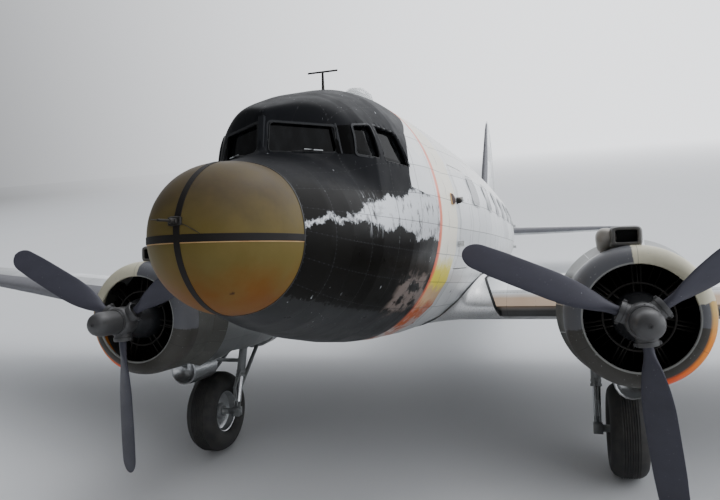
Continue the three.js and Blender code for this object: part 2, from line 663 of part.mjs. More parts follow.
function buildAstrodome(group) {
  const { y, radius, height, glass } = ASTRODOME;
  const cap = (r, h) => {
    const points = [0, 0.3, 0.6, 0.85, 1].map((t) => {
      const angle = t * Math.PI / 2;
      return new THREE.Vector2(r * Math.sin(angle), h * Math.cos(angle));
    });
    points.push(new THREE.Vector2(r, -120), new THREE.Vector2(0, -120), points[0]);
    let solid = solidOf(new THREE.LatheGeometry(points, 16));
    if (solid.volume() < 0) solid = solidOf(new THREE.LatheGeometry(points.reverse(), 16));
    const upright = geometryOf(solid).rotateX(Math.PI / 2).translate(0, y, 2232);
    return solidOf(upright);
  };
  const dome = cut(cap(radius, height), cap(radius - glass, height - glass).add(
    rod([0, y, 1800], [0, y, 2200], radius - glass, 16)), fuselageBody(CABIN, -FIT));
  group.add(piece('astrodome', dome, finish.glass));
}

// A T-shaped aerial on the cockpit roof
const MAST = { y: 2480, foot: 2120, plateTop: 2160, top: 2345, halfBar: 150 };

function buildMast(group) {
  const { y, foot, plateTop, top, halfBar } = MAST;
  const post = rod([0, y, foot], [0, y, top], 17, 8, 11);
  const bar = rod([-halfBar, y, top], [halfBar, y, top], 9, 8);
  const plate = box(-35, 35, y - 60, y + 60, foot, plateTop);
  group.add(piece('antenna_mast', cut(join(post, bar, plate), noseBody(-FIT)), finish.steel));
}

// Cockpit floor with the two pilots' seats, and the instrument panel
const SEAT = { across: 380, halfWidth: 215, front: 2150, rear: 2620, cushion: 800, back: 1370 };

function buildCockpit(group) {
  const room = noseBody(WALL + FIT);
  const deck = box(-1200, 1200, 900, NOSE_REAR - 1, 410, 450).intersect(room);
  const seats = [-1, 1].flatMap((side) => {
    const { across, halfWidth, front, rear, cushion, back } = SEAT;
    const [x0, x1] = [side * across - halfWidth, side * across + halfWidth];
    return [box(x0, x1, front, rear, cushion - 90, cushion), box(x0, x1, rear - 70, rear, cushion - 90, back),
      box(x0 + 120, x1 - 120, front + 100, rear - 100, 440, cushion - 80)];
  });
  group.add(piece('cockpit_floor', join(deck, ...seats), finish.interior));
  const panel = box(-1200, 1200, 1620, 1650, 880, 1335).intersect(noseBody(WALL + 6));
  const pedestal = box(-130, 130, 1600, 1940, 451, 960);
  group.add(piece('instrument_panel', join(panel, pedestal), finish.interior));
}

// Tail surfaces: height or distance out, leading edge, trailing edge and thickness share
const STABILISER = [
  [150, 15860, 18560, 0.1],
  [3000, 16660, 18500, 0.095],
  [3700, 16930, 18330, 0.09],
  [3950, 17130, 18120, 0.085],
  [4065, 17400, 17800, 0.08],
];
const FIN = [
  [1060, 15500, 18400, 0.075],
  [1500, 15500, 19120, 0.07],
  [2000, 14950, 19540, 0.06],
  [2300, 15620, 19650, 0.07],
  [2650, 15980, 19660, 0.08],
  [3350, 16450, 19480, 0.085],
  [4560, 17230, 18560, 0.085],
  [4800, 17440, 18240, 0.08],
  [4900, 17620, 18010, 0.07],
];
const TORQUE_TUBE = 35;

function tailSurface(rows, height) {
  return loft(rows.map(([x, leading, trailing, thickness]) => airfoilRing({ x, leading,
    chord: trailing - leading, thickness, height, camber: 0 })));
}

function buildTail(group) {
  const swivelBlock = tailBearing();
  const bellyless = barrel(TAIL.map((s, i) => (i ? s : { ...s, station: s.station + FIT })), 200, -WALL);
  const tubeHole = rod([-900, ELEVATOR_STATION, TAILPLANE_HEIGHT], [900, ELEVATOR_STATION, TAILPLANE_HEIGHT],
    TORQUE_TUBE + CLEAR, 12);
  const cone = cut(join(bellyless, swivelBlock.outer), tubeHole, swivelBlock.bore);
  group.add(piece('tail_cone', cone, finish.alloy));

  const coneKeepOut = loft([...TAIL.map((s) => fuselageRing(s, -FIT)),
    fuselageRing(TAIL[TAIL.length - 1], -FIT, TAIL_REAR + FIT)]);
  const [fixed, moving] = splitControl(tailSurface(STABILISER, TAILPLANE_HEIGHT), {
    from: [360, ELEVATOR_STATION, TAILPLANE_HEIGHT], to: [3900, ELEVATOR_STATION, TAILPLANE_HEIGHT],
    nose: [88, 42], shares: [0.16, 0.84], innerTrail: 0.2, clearFrom: 0, openEnd: 600 });
  const tube = (radius, reach) => rod([-reach, ELEVATOR_STATION, TAILPLANE_HEIGHT],
    [reach, ELEVATOR_STATION, TAILPLANE_HEIGHT], radius, 12);
  group.add(piece('stabiliser_left', cut(fixed, coneKeepOut), finish.greyPaint));
  group.add(piece('stabiliser_right', cut(mirrored(fixed), coneKeepOut), finish.greyPaint));
  group.add(piece('elevator_left', join(moving, tube(TORQUE_TUBE, 420)), finish.greyPaint));
  group.add(piece('elevator_right', cut(mirrored(moving), tube(TORQUE_TUBE + FIT, 421)), finish.greyPaint));

  const upright = new THREE.Group();
  upright.rotation.y = -Math.PI / 2;
  const [finBody, rudder] = splitControl(tailSurface(FIN, 0), {
    from: [1070, RUDDER_STATION, 0], to: [4660, RUDDER_STATION, 0], nose: [92, 40], shares: [0.12, 0.85],
    clearFrom: 900, openEnd: 600 });
  const lying = geometryOf(coneKeepOut).rotateY(Math.PI / 2);
  upright.add(piece('fin', cut(finBody, solidOf(lying)), finish.greyPaint));
  upright.add(piece('rudder', rudder, finish.greyPaint));
  group.add(upright);
}

// Tail wheel: a castoring fork in a bearing under the tail; this frame stands upright when the plane is parked.
const SWIVEL_RADIUS = 38;
const BEARING_RADIUS = 62;
const FORK_HALF_WIDTH = 105;
const AXLE_TAIL = 20;
const parkedZ = (y, z) => z * Math.cos(GROUND_ANGLE) - y * Math.sin(GROUND_ANGLE);
const TAIL_AXLE_HEIGHT = (parkedZ(WHEEL_STATION, WHEEL_HEIGHT) - WHEEL_RADIUS + TAIL_WHEEL_RADIUS
  + TAIL_WHEEL_STATION * Math.sin(GROUND_ANGLE)) / Math.cos(GROUND_ANGLE);

function fromTailFrame(solid) {
  const geometry = geometryOf(solid).rotateX(GROUND_ANGLE);
  return solidOf(geometry.translate(0, TAIL_WHEEL_STATION, TAIL_AXLE_HEIGHT));
}

function tailBearing() {
  const y = -TAIL_WHEEL_TRAIL;
  const outer = fromTailFrame(join(rod([0, y, 470], [0, y, 900], BEARING_RADIUS, 12),
    box(-330, 330, y - 40, y + 40, 690, 740)));
  const bore = fromTailFrame(rod([0, y, 400], [0, y, 872], boreRadius(SWIVEL_RADIUS, 12), 12));
  const keep = fuselageBody(TAIL, 20);
  return { outer: join(outer.intersect(keep), fromTailFrame(rod([0, y, 470], [0, y, 720], BEARING_RADIUS, 12))),
    bore };
}

function buildTailWheel(group) {
  const y = -TAIL_WHEEL_TRAIL;
  const shaft = join(rod([0, y, 370], [0, y, 865], SWIVEL_RADIUS, 12), rod([0, y, 360], [0, y, 469.6], 70, 12));
  const crown = box(-FORK_HALF_WIDTH - 22, FORK_HALF_WIDTH + 22, y - 60, y + 110, 320, 365);
  const legs = [-1, 1].map((side) => {
    const outline = [[-45, -50], [45, -50], [60, 60], [y + 110, 340], [y - 40, 340]];
    const from = side > 0 ? FORK_HALF_WIDTH : -FORK_HALF_WIDTH - 22;
    return prism(outline, 'x', from, from + 22);
  });
  const axle = rod([-FORK_HALF_WIDTH - 10, 0, 0], [FORK_HALF_WIDTH + 10, 0, 0], AXLE_TAIL, 12);
  const collars = [-1, 1].map((side) => rod([side * 62, 0, 0], [side * FORK_HALF_WIDTH, 0, 0], 34, 12));
  const frame = new THREE.Group();
  frame.position.set(0, TAIL_WHEEL_STATION, TAIL_AXLE_HEIGHT);
  frame.rotation.x = GROUND_ANGLE;
  frame.add(piece('tail_fork', join(shaft, crown, ...legs, axle, ...collars), finish.steel));
  const wheel = wheelTurned([[AXLE_TAIL + 0.8, -60], [120, -60], [150, -84], [222, -90], [TAIL_WHEEL_RADIUS, -40],
    [TAIL_WHEEL_RADIUS, 40], [222, 90], [150, 84], [120, 60], [AXLE_TAIL + 0.8, 60]], 24);
  frame.add(piece('tail_wheel', wheel, finish.rubber));
  group.add(frame);
}

// Round about an axis parallel to x: each point of the profile is [radius, distance along x].
function wheelTurned(profile, segments) {
  return solidOf(geometryOf(turned(profile, segments)).rotateZ(-Math.PI / 2));
}

// Main wheels and their legs, drawn about the axle's middle
const OLEO_SIDE = 330;
const AXLE_RADIUS = 45;
const SPAR_STATION = 380;
const DRAG_STATION = 1540;
const WHEEL_SEGMENTS = 24;
const TYRE = [[290, -150], [350, -200], [440, -216], [525, -175], [WHEEL_RADIUS, -80], [WHEEL_RADIUS, 80],
  [525, 175], [440, 216], [350, 200], [290, 150]];
const RIM = [[AXLE_RADIUS + 0.8, -95], [110, -95], [120, -40], [262, -60], [290 - FIT, -150], [290 - FIT, 150],
  [262, 60], [120, 40], [110, 95], [AXLE_RADIUS + 0.8, 95]];

function mainLeg() {
  const top = -WHEEL_HEIGHT - 330;
  const legs = [-1, 1].flatMap((side) => {
    const x = side * OLEO_SIDE;
    const along = (t) => [x, t * SPAR_STATION, t * (top + 60)];
    return [
      rod([side * 98, 0, 0], [side * 120, 0, 0], 75, 10),
      rod([x, -5, -70], along(0.42), 42, 8),
      rod(along(0.36), along(1), 62, 7),
      rod([x, 90, 300], [side * 130, DRAG_STATION, -WHEEL_HEIGHT - 390], 30, 6),
      box(x - 55, x + 55, -60, 60, -60, 60),
    ];
  });
  return join(rod([-OLEO_SIDE, 0, 0], [OLEO_SIDE, 0, 0], AXLE_RADIUS, WHEEL_SEGMENTS), ...legs,
    box(-OLEO_SIDE - 55, OLEO_SIDE + 55, SPAR_STATION - 60, SPAR_STATION + 60, top - 50, top + 120),
    box(-OLEO_SIDE, OLEO_SIDE, 190, 230, 690, 740),
    box(-190, 190, DRAG_STATION - 60, DRAG_STATION + 60, -WHEEL_HEIGHT - 460, -WHEEL_HEIGHT - 300));
}

// Nacelle: station, half-width, top and bottom about the engine's axis
const NACELLE = [
  [NACELLE_FRONT, 655, 655, -655],
  [4420, 690, 695, -705],
  [4800, 688, 685, -740],
  [5400, 650, 610, -775],
  [6100, 585, 480, -780],
  [6800, 490, 330, -735],
  [7500, 360, 140, -620],
  [8100, 200, -90, -475],
  [8480, 70, -230, -365],
];
const NACELLE_WALL = 40;
const NACELLE_POINTS = 18;
const WELL = { halfWidth: 395, front: 4960, rear: 6350, top: -470 };

function nacelleBody(inset) {
  return loft(NACELLE.map(([station, halfWidth, top, bottom], i) => {
    const end = i === 0 ? inset : i === NACELLE.length - 1 ? -inset * 2 : 0;
    return Array.from({ length: NACELLE_POINTS }, (_, j) => {
      const angle = (j / NACELLE_POINTS) * 2 * Math.PI;
      const middle = Math.min(0, (top + bottom) / 2);
      const reach = (Math.cos(angle) >= 0 ? top - middle : middle - bottom) - inset;
      return new THREE.Vector3(Math.max(6, halfWidth - inset) * Math.sin(angle), station + end,
        middle + Math.max(6, reach) * Math.cos(angle));
    });
  }));
}

const COWL_FLARE = 775; // at the open cooling flaps' rear edges
const COWL = [[515, 3328], [575, 3325], [650, 3370], [696, 3470], [COWL_RADIUS, 3600], [COWL_RADIUS, 3985],
  [COWL_FLARE, 4225], [COWL_FLARE - 10, 4225], [COWL_INNER_RADIUS, 3960], [COWL_INNER_RADIUS, 3580],
  [540, 3372]];
const COWL_SEGMENTS = 24;
const SHAFT_RADIUS = 50;
const ENGINE = [[0, 3070], [SHAFT_RADIUS, 3070], [SHAFT_RADIUS, 3190], [105, 3190], [150, 3230],
  [185, 3330], [245, 3480], [250, 3960], [300, 4060], [300, NACELLE_FRONT - FIT], [0, NACELLE_FRONT - FIT]];
const CYLINDER_ROWS = [{ station: 3620, phase: 0 }];
const CYLINDERS_IN_ROW = 7;
const SHAFT_BORE = boreRadius(SHAFT_RADIUS, 24);

// Air intake on the cowl's top: station, half-width, bottom and top about the engine's axis
const SCOOP = [
  [3560, 190, 640, 872],
  [3640, 205, 640, 892],
  [4100, 205, 640, 896],
  [4500, 190, 620, 850],
  [4950, 130, 600, 700],
];
const SCOOP_CORNER = 60;

const HUB = [[0, 2580], [75, 2590], [120, 2640], [138, 2740], [138, 2960], [168, 2990], [168, 3140],
  [140, 3178], [0, 3178]];
const SOCKET_RADIUS = 92;
const SOCKET_REACH = 235;

// Propeller blade, pointing up: radius, chord, thickness and pitch
const BLADE = [
  [SOCKET_REACH + FIT, 112, 112, 62],
  [340, 124, 102, 60],
  [560, 232, 60, 48],
  [900, 288, 36, 36],
  [1400, 290, 20, 25],
  [1640, 246, 13, 21],
  [1730, 170, 10, 20],
  [PROPELLER_RADIUS, 70, 8, 20],
];
const BLADE_POINTS = 10;
const BLADE_ANGLES = { left: 157, right: 152 };

function bladeBody() {
  return loft(BLADE.map(([radius, chord, thickness, pitch]) => {
    const beta = THREE.MathUtils.degToRad(pitch);
    return Array.from({ length: BLADE_POINTS }, (_, i) => {
      const angle = (i / BLADE_POINTS) * 2 * Math.PI;
      const [u, v] = [0.5 * chord * Math.cos(angle), 0.5 * thickness * Math.sin(angle)];
      return new THREE.Vector3(-u * Math.cos(beta) + v * Math.sin(beta),
        -u * Math.sin(beta) - v * Math.cos(beta), radius);
    });
  }));
}

// Everything on one engine's axis, drawn about x = 0 and z = 0 and set out to its side
function powerplant() {
  const wing = wingCentreBody(FIT).translate([0, 0, -ENGINE_HEIGHT]);
  const keepOut = nacelleBody(-FIT);
  const well = box(-WELL.halfWidth, WELL.halfWidth, WELL.front, WELL.rear, -1200, WELL.top);
  const nacelle = cut(nacelleBody(0), nacelleBody(NACELLE_WALL), well, wing);
  const leg = solidOf(geometryOf(mainLeg()).translate(0, WHEEL_STATION, WHEEL_HEIGHT - ENGINE_HEIGHT));
  const cylinders = CYLINDER_ROWS.flatMap(({ station, phase }) =>
    Array.from({ length: CYLINDERS_IN_ROW }, (_, i) => {
      const angle = ((i + phase) / CYLINDERS_IN_ROW) * 2 * Math.PI;
      const at = (r) => [r * Math.sin(angle), station, r * Math.cos(angle)];
      return rod(at(200), at(610), 82, 8);
    }));
  const baffle = turned([[230, 3890], [COWL_INNER_RADIUS - FIT, 3890], [COWL_INNER_RADIUS - FIT, 3920],
    [230, 3920]], COWL_SEGMENTS);
  const engine = join(turned(ENGINE, 14), baffle, ...cylinders);
  const scoopRings = SCOOP.map(([y, w, low, high]) => {
    const shoulder = high - SCOOP_CORNER;
    const inner = w - SCOOP_CORNER;
    return [[-w, low], [w, low], [w, shoulder], [inner, high], [-inner, high], [-w, shoulder]]
      .map(([x, z]) => new THREE.Vector3(x, y, z));
  });
  const cowled = turned([[0, 3300], [COWL_RADIUS + FIT, 3300], [COWL_RADIUS + FIT, 3984],
    [COWL_FLARE + 1.2, 4226], [0, 4226]], COWL_SEGMENTS);
  const scoop = cut(loft(scoopRings), cowled, keepOut, box(-150, 150, 3500, 3760, 735, 850));
  const barrelOf = (from, to, radius) => rod([0, from, -800], [0, to, -800], radius, 16);
  const cooler = cut(barrelOf(4330, 4900, 190), barrelOf(4300, 4420, 165), barrelOf(4820, 4950, 165), keepOut);
  const pipe = cut(
    join(rod([655, 4240, -330], [668, 4560, -350], 80, 10), rod([668, 4540, -350], [690, 5010, -365], 80, 10)),
    rod([684, 4900, -361], [694, 5100, -368], 66, 10),
    rod([640, 4150, -330], [655, 4262, -330], 66, 10),
    keepOut, wing);
  return {
    nacelle: [nacelle, finish.alloy],
    cowling: [turned(COWL, COWL_SEGMENTS), finish.darkPaint],
    engine: [engine, finish.steel],
    intake_scoop: [scoop, finish.alloy],
    oil_cooler: [cooler, finish.alloy],
    exhaust: [pipe, finish.steel],
    main_gear: [cut(leg, wing), finish.greyPaint],
  };
}

function buildPowerplants(group) {
  const solids = powerplant();
  const bosses = [0, 120, 240].map((degrees) => {
    const angle = THREE.MathUtils.degToRad(degrees);
    return rod([0, PROPELLER_STATION, 0], [SOCKET_REACH * Math.cos(angle), PROPELLER_STATION,
      SOCKET_REACH * Math.sin(angle)], SOCKET_RADIUS, 10);
  });
  const bore = rod([0, 3062, 0], [0, 3300, 0], SHAFT_BORE, 24);
  const blade = bladeBody();
  for (const [side, sign] of [['left', 1], ['right', -1]]) {
    const engineGroup = new THREE.Group();
    engineGroup.position.set(sign * ENGINE_OFFSET, 0, ENGINE_HEIGHT);
    for (const [name, [solid, material]] of Object.entries(solids)) {
      const handed = name === 'exhaust' && sign < 0 ? mirrored(solid) : solid;
      engineGroup.add(piece(`${name}_${side}`, handed, material));
    }
    const wheel = [['main_tyre', TYRE, finish.rubber], ['main_rim', RIM, finish.alloy]];
    for (const [name, profile, material] of wheel) {
      const mesh = piece(`${name}_${side}`, wheelTurned(profile, WHEEL_SEGMENTS), material);
      mesh.position.set(0, WHEEL_STATION, WHEEL_HEIGHT - ENGINE_HEIGHT);
      engineGroup.add(mesh);
    }
    const propeller = new THREE.Group();
    const start = THREE.MathUtils.degToRad(BLADE_ANGLES[side]);
    propeller.rotation.y = -start;
    const hub = cut(join(turned(HUB, 14), ...bosses), bore);
    propeller.add(piece(`propeller_hub_${side}`, hub, finish.propellerGrey));
    for (const [i, number] of [[0, 1], [1, 2], [2, 3]]) {
      const mesh = piece(`blade_${side}_${number}`, blade, finish.propellerGrey);
      mesh.position.y = PROPELLER_STATION;
      mesh.rotation.y = Math.PI / 2 - THREE.MathUtils.degToRad(120 * i);
      propeller.add(mesh);
    }
    engineGroup.add(propeller);
    group.add(engineGroup);
  }
}

const aircraft = new THREE.Group();
buildRadome(aircraft);
buildNose(aircraft);
buildCockpit(aircraft);
buildCabin(aircraft);
buildAstrodome(aircraft);
buildMast(aircraft);
buildWing(aircraft);
buildTail(aircraft);
buildTailWheel(aircraft);
buildPowerplants(aircraft);

// Pitch to the ground angle, then stand it on the floor with the middle of its box over the origin
aircraft.rotation.x = -GROUND_ANGLE;
const parked = new THREE.Group();
parked.add(aircraft);
parked.updateMatrixWorld(true);
const bounds = new THREE.Box3().setFromObject(parked, true);
aircraft.position.set(-(bounds.min.x + bounds.max.x) / 2, -(bounds.min.y + bounds.max.y) / 2, -bounds.min.z);

export default parked;
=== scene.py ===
import json
import math

import bmesh
import bpy
import numpy as np
from mathutils import Matrix

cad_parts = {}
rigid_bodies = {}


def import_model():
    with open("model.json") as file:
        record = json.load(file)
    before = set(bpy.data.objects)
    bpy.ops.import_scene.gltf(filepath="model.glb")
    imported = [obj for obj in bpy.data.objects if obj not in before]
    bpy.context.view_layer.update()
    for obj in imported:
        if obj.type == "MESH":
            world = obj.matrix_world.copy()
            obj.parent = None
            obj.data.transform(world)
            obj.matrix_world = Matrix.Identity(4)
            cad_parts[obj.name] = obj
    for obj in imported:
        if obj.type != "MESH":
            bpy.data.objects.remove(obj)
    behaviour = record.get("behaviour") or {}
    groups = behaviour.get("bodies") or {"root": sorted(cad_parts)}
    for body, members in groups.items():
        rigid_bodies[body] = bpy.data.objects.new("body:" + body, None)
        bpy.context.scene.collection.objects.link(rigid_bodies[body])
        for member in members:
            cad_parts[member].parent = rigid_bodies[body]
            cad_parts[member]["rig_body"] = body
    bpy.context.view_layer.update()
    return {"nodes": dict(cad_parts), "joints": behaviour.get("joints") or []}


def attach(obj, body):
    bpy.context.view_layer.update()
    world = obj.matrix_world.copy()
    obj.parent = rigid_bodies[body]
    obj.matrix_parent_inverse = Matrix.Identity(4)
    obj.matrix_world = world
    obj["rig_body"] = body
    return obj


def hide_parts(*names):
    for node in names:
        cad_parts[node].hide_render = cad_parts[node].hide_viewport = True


bl_info = {
    "name": "Twin-engined transport plane",
    "version": (1, 0, 0),
    "blender": (4, 5, 0),
    "location": "View3D > Sidebar > Transport plane",
    "description": "Dresses a packed transport plane with its fine pieces and finishes",
    "category": "Object",
}

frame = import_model()

# The plane is drawn level, in millimetres: x to port, y aft from the radome's tip, z up.
# Parked, it is pitched nose-up and set down, and a known joint gives the shift.
MM = 0.001
GROUND_ANGLE = math.radians(10.5)
COS, SIN = math.cos(GROUND_ANGLE), math.sin(GROUND_ANGLE)
TURN = np.array([[1, 0, 0], [0, COS, SIN], [0, -SIN, COS]])
ENGINE_OFFSET, PROPELLER_STATION, ENGINE_HEIGHT = 2820, 3080, -100
JOINTS = {joint["name"]: joint for joint in frame["joints"]}
ORIGIN = np.array(JOINTS["propeller_left_spin"]["pos_m"]) - TURN @ (
    np.array([ENGINE_OFFSET, PROPELLER_STATION, ENGINE_HEIGHT]) * MM)
SIDES = (("left", 1), ("right", -1))
INCIDENCE, DIHEDRAL = math.tan(math.radians(2)), math.radians(6)

# Fuselage sections: station, half-width, top, bottom, widest height, fullness of the upper half
HOOD = np.array([
    [640, 520, 1220, 180, 700, 2.3],
    [900, 618, 1290, 82, 706, 2.2],
    [1150, 694, 1344, 5, 715, 2.1],
    [1600, 798, 1440, -100, 740, 2],
    [2200, 905, 1560, -205, 790, 2],
    [2750, 980, 1880, -278, 850, 2],
    [3300, 1035, 2228, -330, 900, 2],
])
BARREL = np.array([
    [3300, 1035, 2235, -330, 900, 2],
    [4000, 1115, 2250, -372, 925, 2],
    [5100, 1210, 2255, -400, 935, 2],
    [6200, 1245, 2255, -400, 935, 2],
    [8300, 1245, 2250, -395, 935, 2],
    [9300, 1240, 2240, -300, 940, 2],
    [10600, 1200, 2215, -205, 955, 2],
    [12000, 1115, 2175, -65, 980, 2],
    [13300, 1000, 2125, 110, 1020, 2],
    [14400, 870, 2070, 295, 1060, 2],
    [15600, 700, 1995, 545, 1150, 2],
    [16700, 505, 1915, 810, 1270, 2],
    [17400, 350, 1850, 990, 1380, 2],
    [17760, 255, 1810, 1080, 1430, 2],
])
# Cockpit roof arches: station, half-width, top, springing height, fullness
ROOF = np.array([
    [1000, 470, 1640, 1200, 3.2],
    [1450, 552, 1840, 1185, 3.1],
    [1600, 668, 1905, 1172, 2.5],
    [1700, 732, 1945, 1160, 2.35],
    [2200, 862, 2095, 1080, 2.3],
    [2750, 962, 2190, 970, 2.1],
    [3300, 1035, 2235, 900, 2],
])


# Forms: points and faces in level millimetres
def parked(points):
    """Level millimetres to the parked frame in metres: turned by the ground angle, then shifted."""
    return np.asarray(points, float) * MM @ TURN.T + ORIGIN


def levelled(points):
    """Parked metres back to level millimetres."""
    return (np.asarray(points, float) - ORIGIN) @ TURN / MM


def grid_faces(rows, columns, wrapped=True):
    """Four-cornered faces between neighbouring points of a grid, its columns wrapped round where asked."""
    i = np.arange(rows - 1)[:, None]
    j = np.arange(columns if wrapped else columns - 1)[None, :]
    k = (j + 1) % columns
    corners = [i * columns + j, i * columns + k, (i + 1) * columns + k, (i + 1) * columns + j]
    return np.stack(np.broadcast_arrays(*corners), -1).reshape(-1, 4).tolist()


def skin(rings, capped=(True, True)):
    """A surface through rings of equal point counts, with a flat face over each capped end."""
    rings = np.asarray(rings, float)
    rows, columns = rings.shape[:2]
    faces = grid_faces(rows, columns)
    if capped[0]:
        faces.append(list(range(columns))[::-1])
    if capped[1]:
        faces.append([(rows - 1) * columns + j for j in range(columns)])
    return rings.reshape(-1, 3), faces


def combine(forms):
    """Several forms as one, each form's faces counted on from the points before it."""
    points, faces, start = [], [], 0
    for form_points, form_faces in forms:
        points.append(form_points)
        faces += [[start + i for i in face] for face in form_faces]
        start += len(form_points)
    return np.concatenate(points), faces


def moved(form, shift=(0, 0, 0), mirror=False, turn=0.0, scale=1.0):
    """A form turned about the y axis, scaled, then mirrored across x = 0 where asked, then shifted."""
    points, faces = form
    c, s = math.cos(turn), math.sin(turn)
    x = (points[:, 0] * c + points[:, 2] * s) * scale
    z = (points[:, 2] * c - points[:, 0] * s) * scale
    points = np.stack([-x if mirror else x, points[:, 1] * scale, z], 1) + np.array(shift, float)
    return points, faces


def unit(vectors):
    """Vectors of length one the same way: each divided by its length."""
    return vectors / np.maximum(np.linalg.norm(vectors, axis=-1, keepdims=True), 1e-9)


def swept(path, section, normals=None, closed=False):
    """A section of (side, up) offsets carried along a path; up is the normal, side is tangent x up."""
    path = np.asarray(path, float)
    if closed:
        tangent = np.roll(path, -1, 0) - np.roll(path, 1, 0)
    else:
        tangent = np.gradient(path, axis=0)
    tangent = unit(tangent)
    if normals is None:
        lean = np.abs(tangent).mean(0)
        normals = np.tile(np.eye(3)[int(np.argmin(lean))], (len(path), 1))
    side = unit(np.cross(tangent, normals))
    up = np.cross(side, tangent)
    section = np.asarray(section, float)
    rings = path[:, None] + side[:, None] * section[None, :, :1] + up[:, None] * section[None, :, 1:]
    if closed:
        rings = np.concatenate([rings, rings[:1]])
    return skin(rings, (not closed, not closed))


def tube(path, radius, sides=10, closed=False):
    """A round bar along a path: each ring is radius x (cos a, sin a) across it."""
    a = np.linspace(0, 2 * math.pi, sides, endpoint=False)
    return swept(path, np.stack([radius * np.cos(a), radius * np.sin(a)], 1), closed=closed)


def ribbon(path, normals, width, thickness, closed=False, sink=1.0):
    """A flat band lying on a surface: its section is a low box with softened upper edges."""
    w, t = width / 2, thickness
    section = [(-w, -sink), (w, -sink), (w, t * 0.6), (w - t * 0.5, t), (t * 0.5 - w, t), (-w, t * 0.6)]
    return swept(path, section, normals, closed)


def turned(profile, sides=48, centre=(0, 0, 0), axis="y", closed=True):
    """A profile of (radius, distance along the axis) carried round that axis."""
    profile = np.asarray(profile, float)
    if closed:
        profile = np.concatenate([profile, profile[:1]])
    a = np.linspace(0, 2 * math.pi, sides, endpoint=False)
    across, up = profile[:, :1] * np.sin(a), profile[:, :1] * np.cos(a)
    along = np.broadcast_to(profile[:, 1:], across.shape)
    order = {"x": (along, across, up), "y": (across, along, up), "z": (across, up, along)}[axis]
    return skin(np.stack(order, -1) + np.array(centre, float), (False, False))


def block(low, high, soft=0.0):
    """A box between two corners, its upright and level edges cut back by the soft distance."""
    (x0, y0, z0), (x1, y1, z1) = low, high
    s = soft
    outline = np.array([(x0 + s, y0), (x1 - s, y0), (x1, y0 + s), (x1, y1 - s), (x1 - s, y1), (x0 + s, y1),
        (x0, y1 - s), (x0, y0 + s)], float)
    middle = np.array([(x0 + x1) / 2, (y0 + y1) / 2])
    inner = middle + (outline - middle) * (1 - 2 * s / max(min(x1 - x0, y1 - y0), 1e-6))
    rings = []
    for flat, z in ((inner, z0), (outline, z0 + s), (outline, z1 - s), (inner, z1)):
        rings.append(np.concatenate([flat, np.full((8, 1), float(z))], 1))
    return skin(rings)


def studs(points, normals, radius, height, sides=6):
    """A low dome at each point: a foot ring, a ring at 0.6 of the radius and 0.8 of the height, a crown."""
    points, normals = np.asarray(points, float), unit(np.asarray(normals, float))
    helper = np.where(np.abs(normals[:, :1]) < 0.7, [[1.0, 0, 0]], [[0, 1.0, 0]])
    u = unit(np.cross(normals, helper))
    v = np.cross(normals, u)
    a = np.linspace(0, 2 * math.pi, sides, endpoint=False)
    ring = u[:, None] * np.cos(a)[None, :, None] + v[:, None] * np.sin(a)[None, :, None]
    base = points[:, None] + ring * radius - normals[:, None]
    upper = points[:, None] + ring * radius * 0.6 + normals[:, None] * height * 0.8
    crown = (points + normals * height)[:, None]
    each = np.concatenate([base, upper, crown], 1)
    one = []
    for j in range(sides):
        k = (j + 1) % sides
        one += [[j, k, sides + k, sides + j], [sides + j, sides + k, 2 * sides]]
    one.append(list(range(sides))[::-1])
    count = 2 * sides + 1
    faces = [[n * count + i for i in face] for n in range(len(points)) for face in one]
    return each.reshape(-1, 3), faces


def squared_off(wave, n):
    """A sine or cosine that makes a rounded oblong of a circle: its sign x its size to the power 2/n."""
    return np.sign(wave) * np.abs(wave) ** (2 / n)


def stations(table, y):
    """The table's columns at the given stations, each a straight run between its rows."""
    return [np.interp(y, table[:, 0], table[:, k]) for k in range(1, table.shape[1])]


def hull_value(table, points):
    """How far out a point lies in its section: (|x|/a)^n + (|z-w|/b)^n to the power 1/n, less one."""
    x, y, z = points.T
    half, top, bottom, widest, fullness = stations(table, y)
    upper = z >= widest
    reach = np.where(upper, top - widest, widest - bottom)
    n = np.where(upper, fullness, 2.0)
    return ((np.abs(x) / half) ** n + (np.abs(z - widest) / reach) ** n) ** (1 / n) - 1


def hood_value(points):
    """The same for the nose's sections."""
    return hull_value(HOOD, points)


def barrel_value(points):
    """The same for the cabin's and tail's sections."""
    return hull_value(BARREL, points)


def roof_value(points):
    """The same for the cockpit roof's arches, which stand on their springing line: 9 below it."""
    x, y, z = points.T
    half, top, spring, n = stations(ROOF, y)
    value = ((np.abs(x) / half) ** n + (np.abs(z - spring) / (top - spring)) ** n) ** (1 / n) - 1
    return np.where(z > spring, value, 9.0)


def outward(value, points):
    """The direction in which a value grows, by differences over 15 mm across and 120 mm along."""
    steps = np.diag([15.0, 120.0, 15.0])
    slope = [(value(points + s) - value(points - s)) / (2 * s.sum()) for s in steps]
    return unit(np.stack(slope, -1))


def hull_point(table, y, angle, lift=0.0):
    """A point of the fuselage at a station and an angle from the crown towards port."""
    y, angle = np.broadcast_arrays(np.asarray(y, float), np.asarray(angle, float))
    half, top, bottom, widest, fullness = stations(table, y)
    n = np.where(np.cos(angle) > 0, fullness, 2.0)
    across, up = squared_off(np.sin(angle), n), squared_off(np.cos(angle), n)
    reach = np.where(up > 0, top - widest, widest - bottom)
    return np.stack([(half + lift) * across, y, widest + (reach + lift) * up], -1)


def side_of_barrel(y, z):
    """The cabin's port side at a station and height: half x root of 1 - (height off widest / reach)^2."""
    half, top, bottom, widest, _ = stations(BARREL, y)
    reach = np.where(z >= widest, top - widest, widest - bottom)
    return half * np.sqrt(np.clip(1 - ((z - widest) / reach) ** 2, 0, 1))


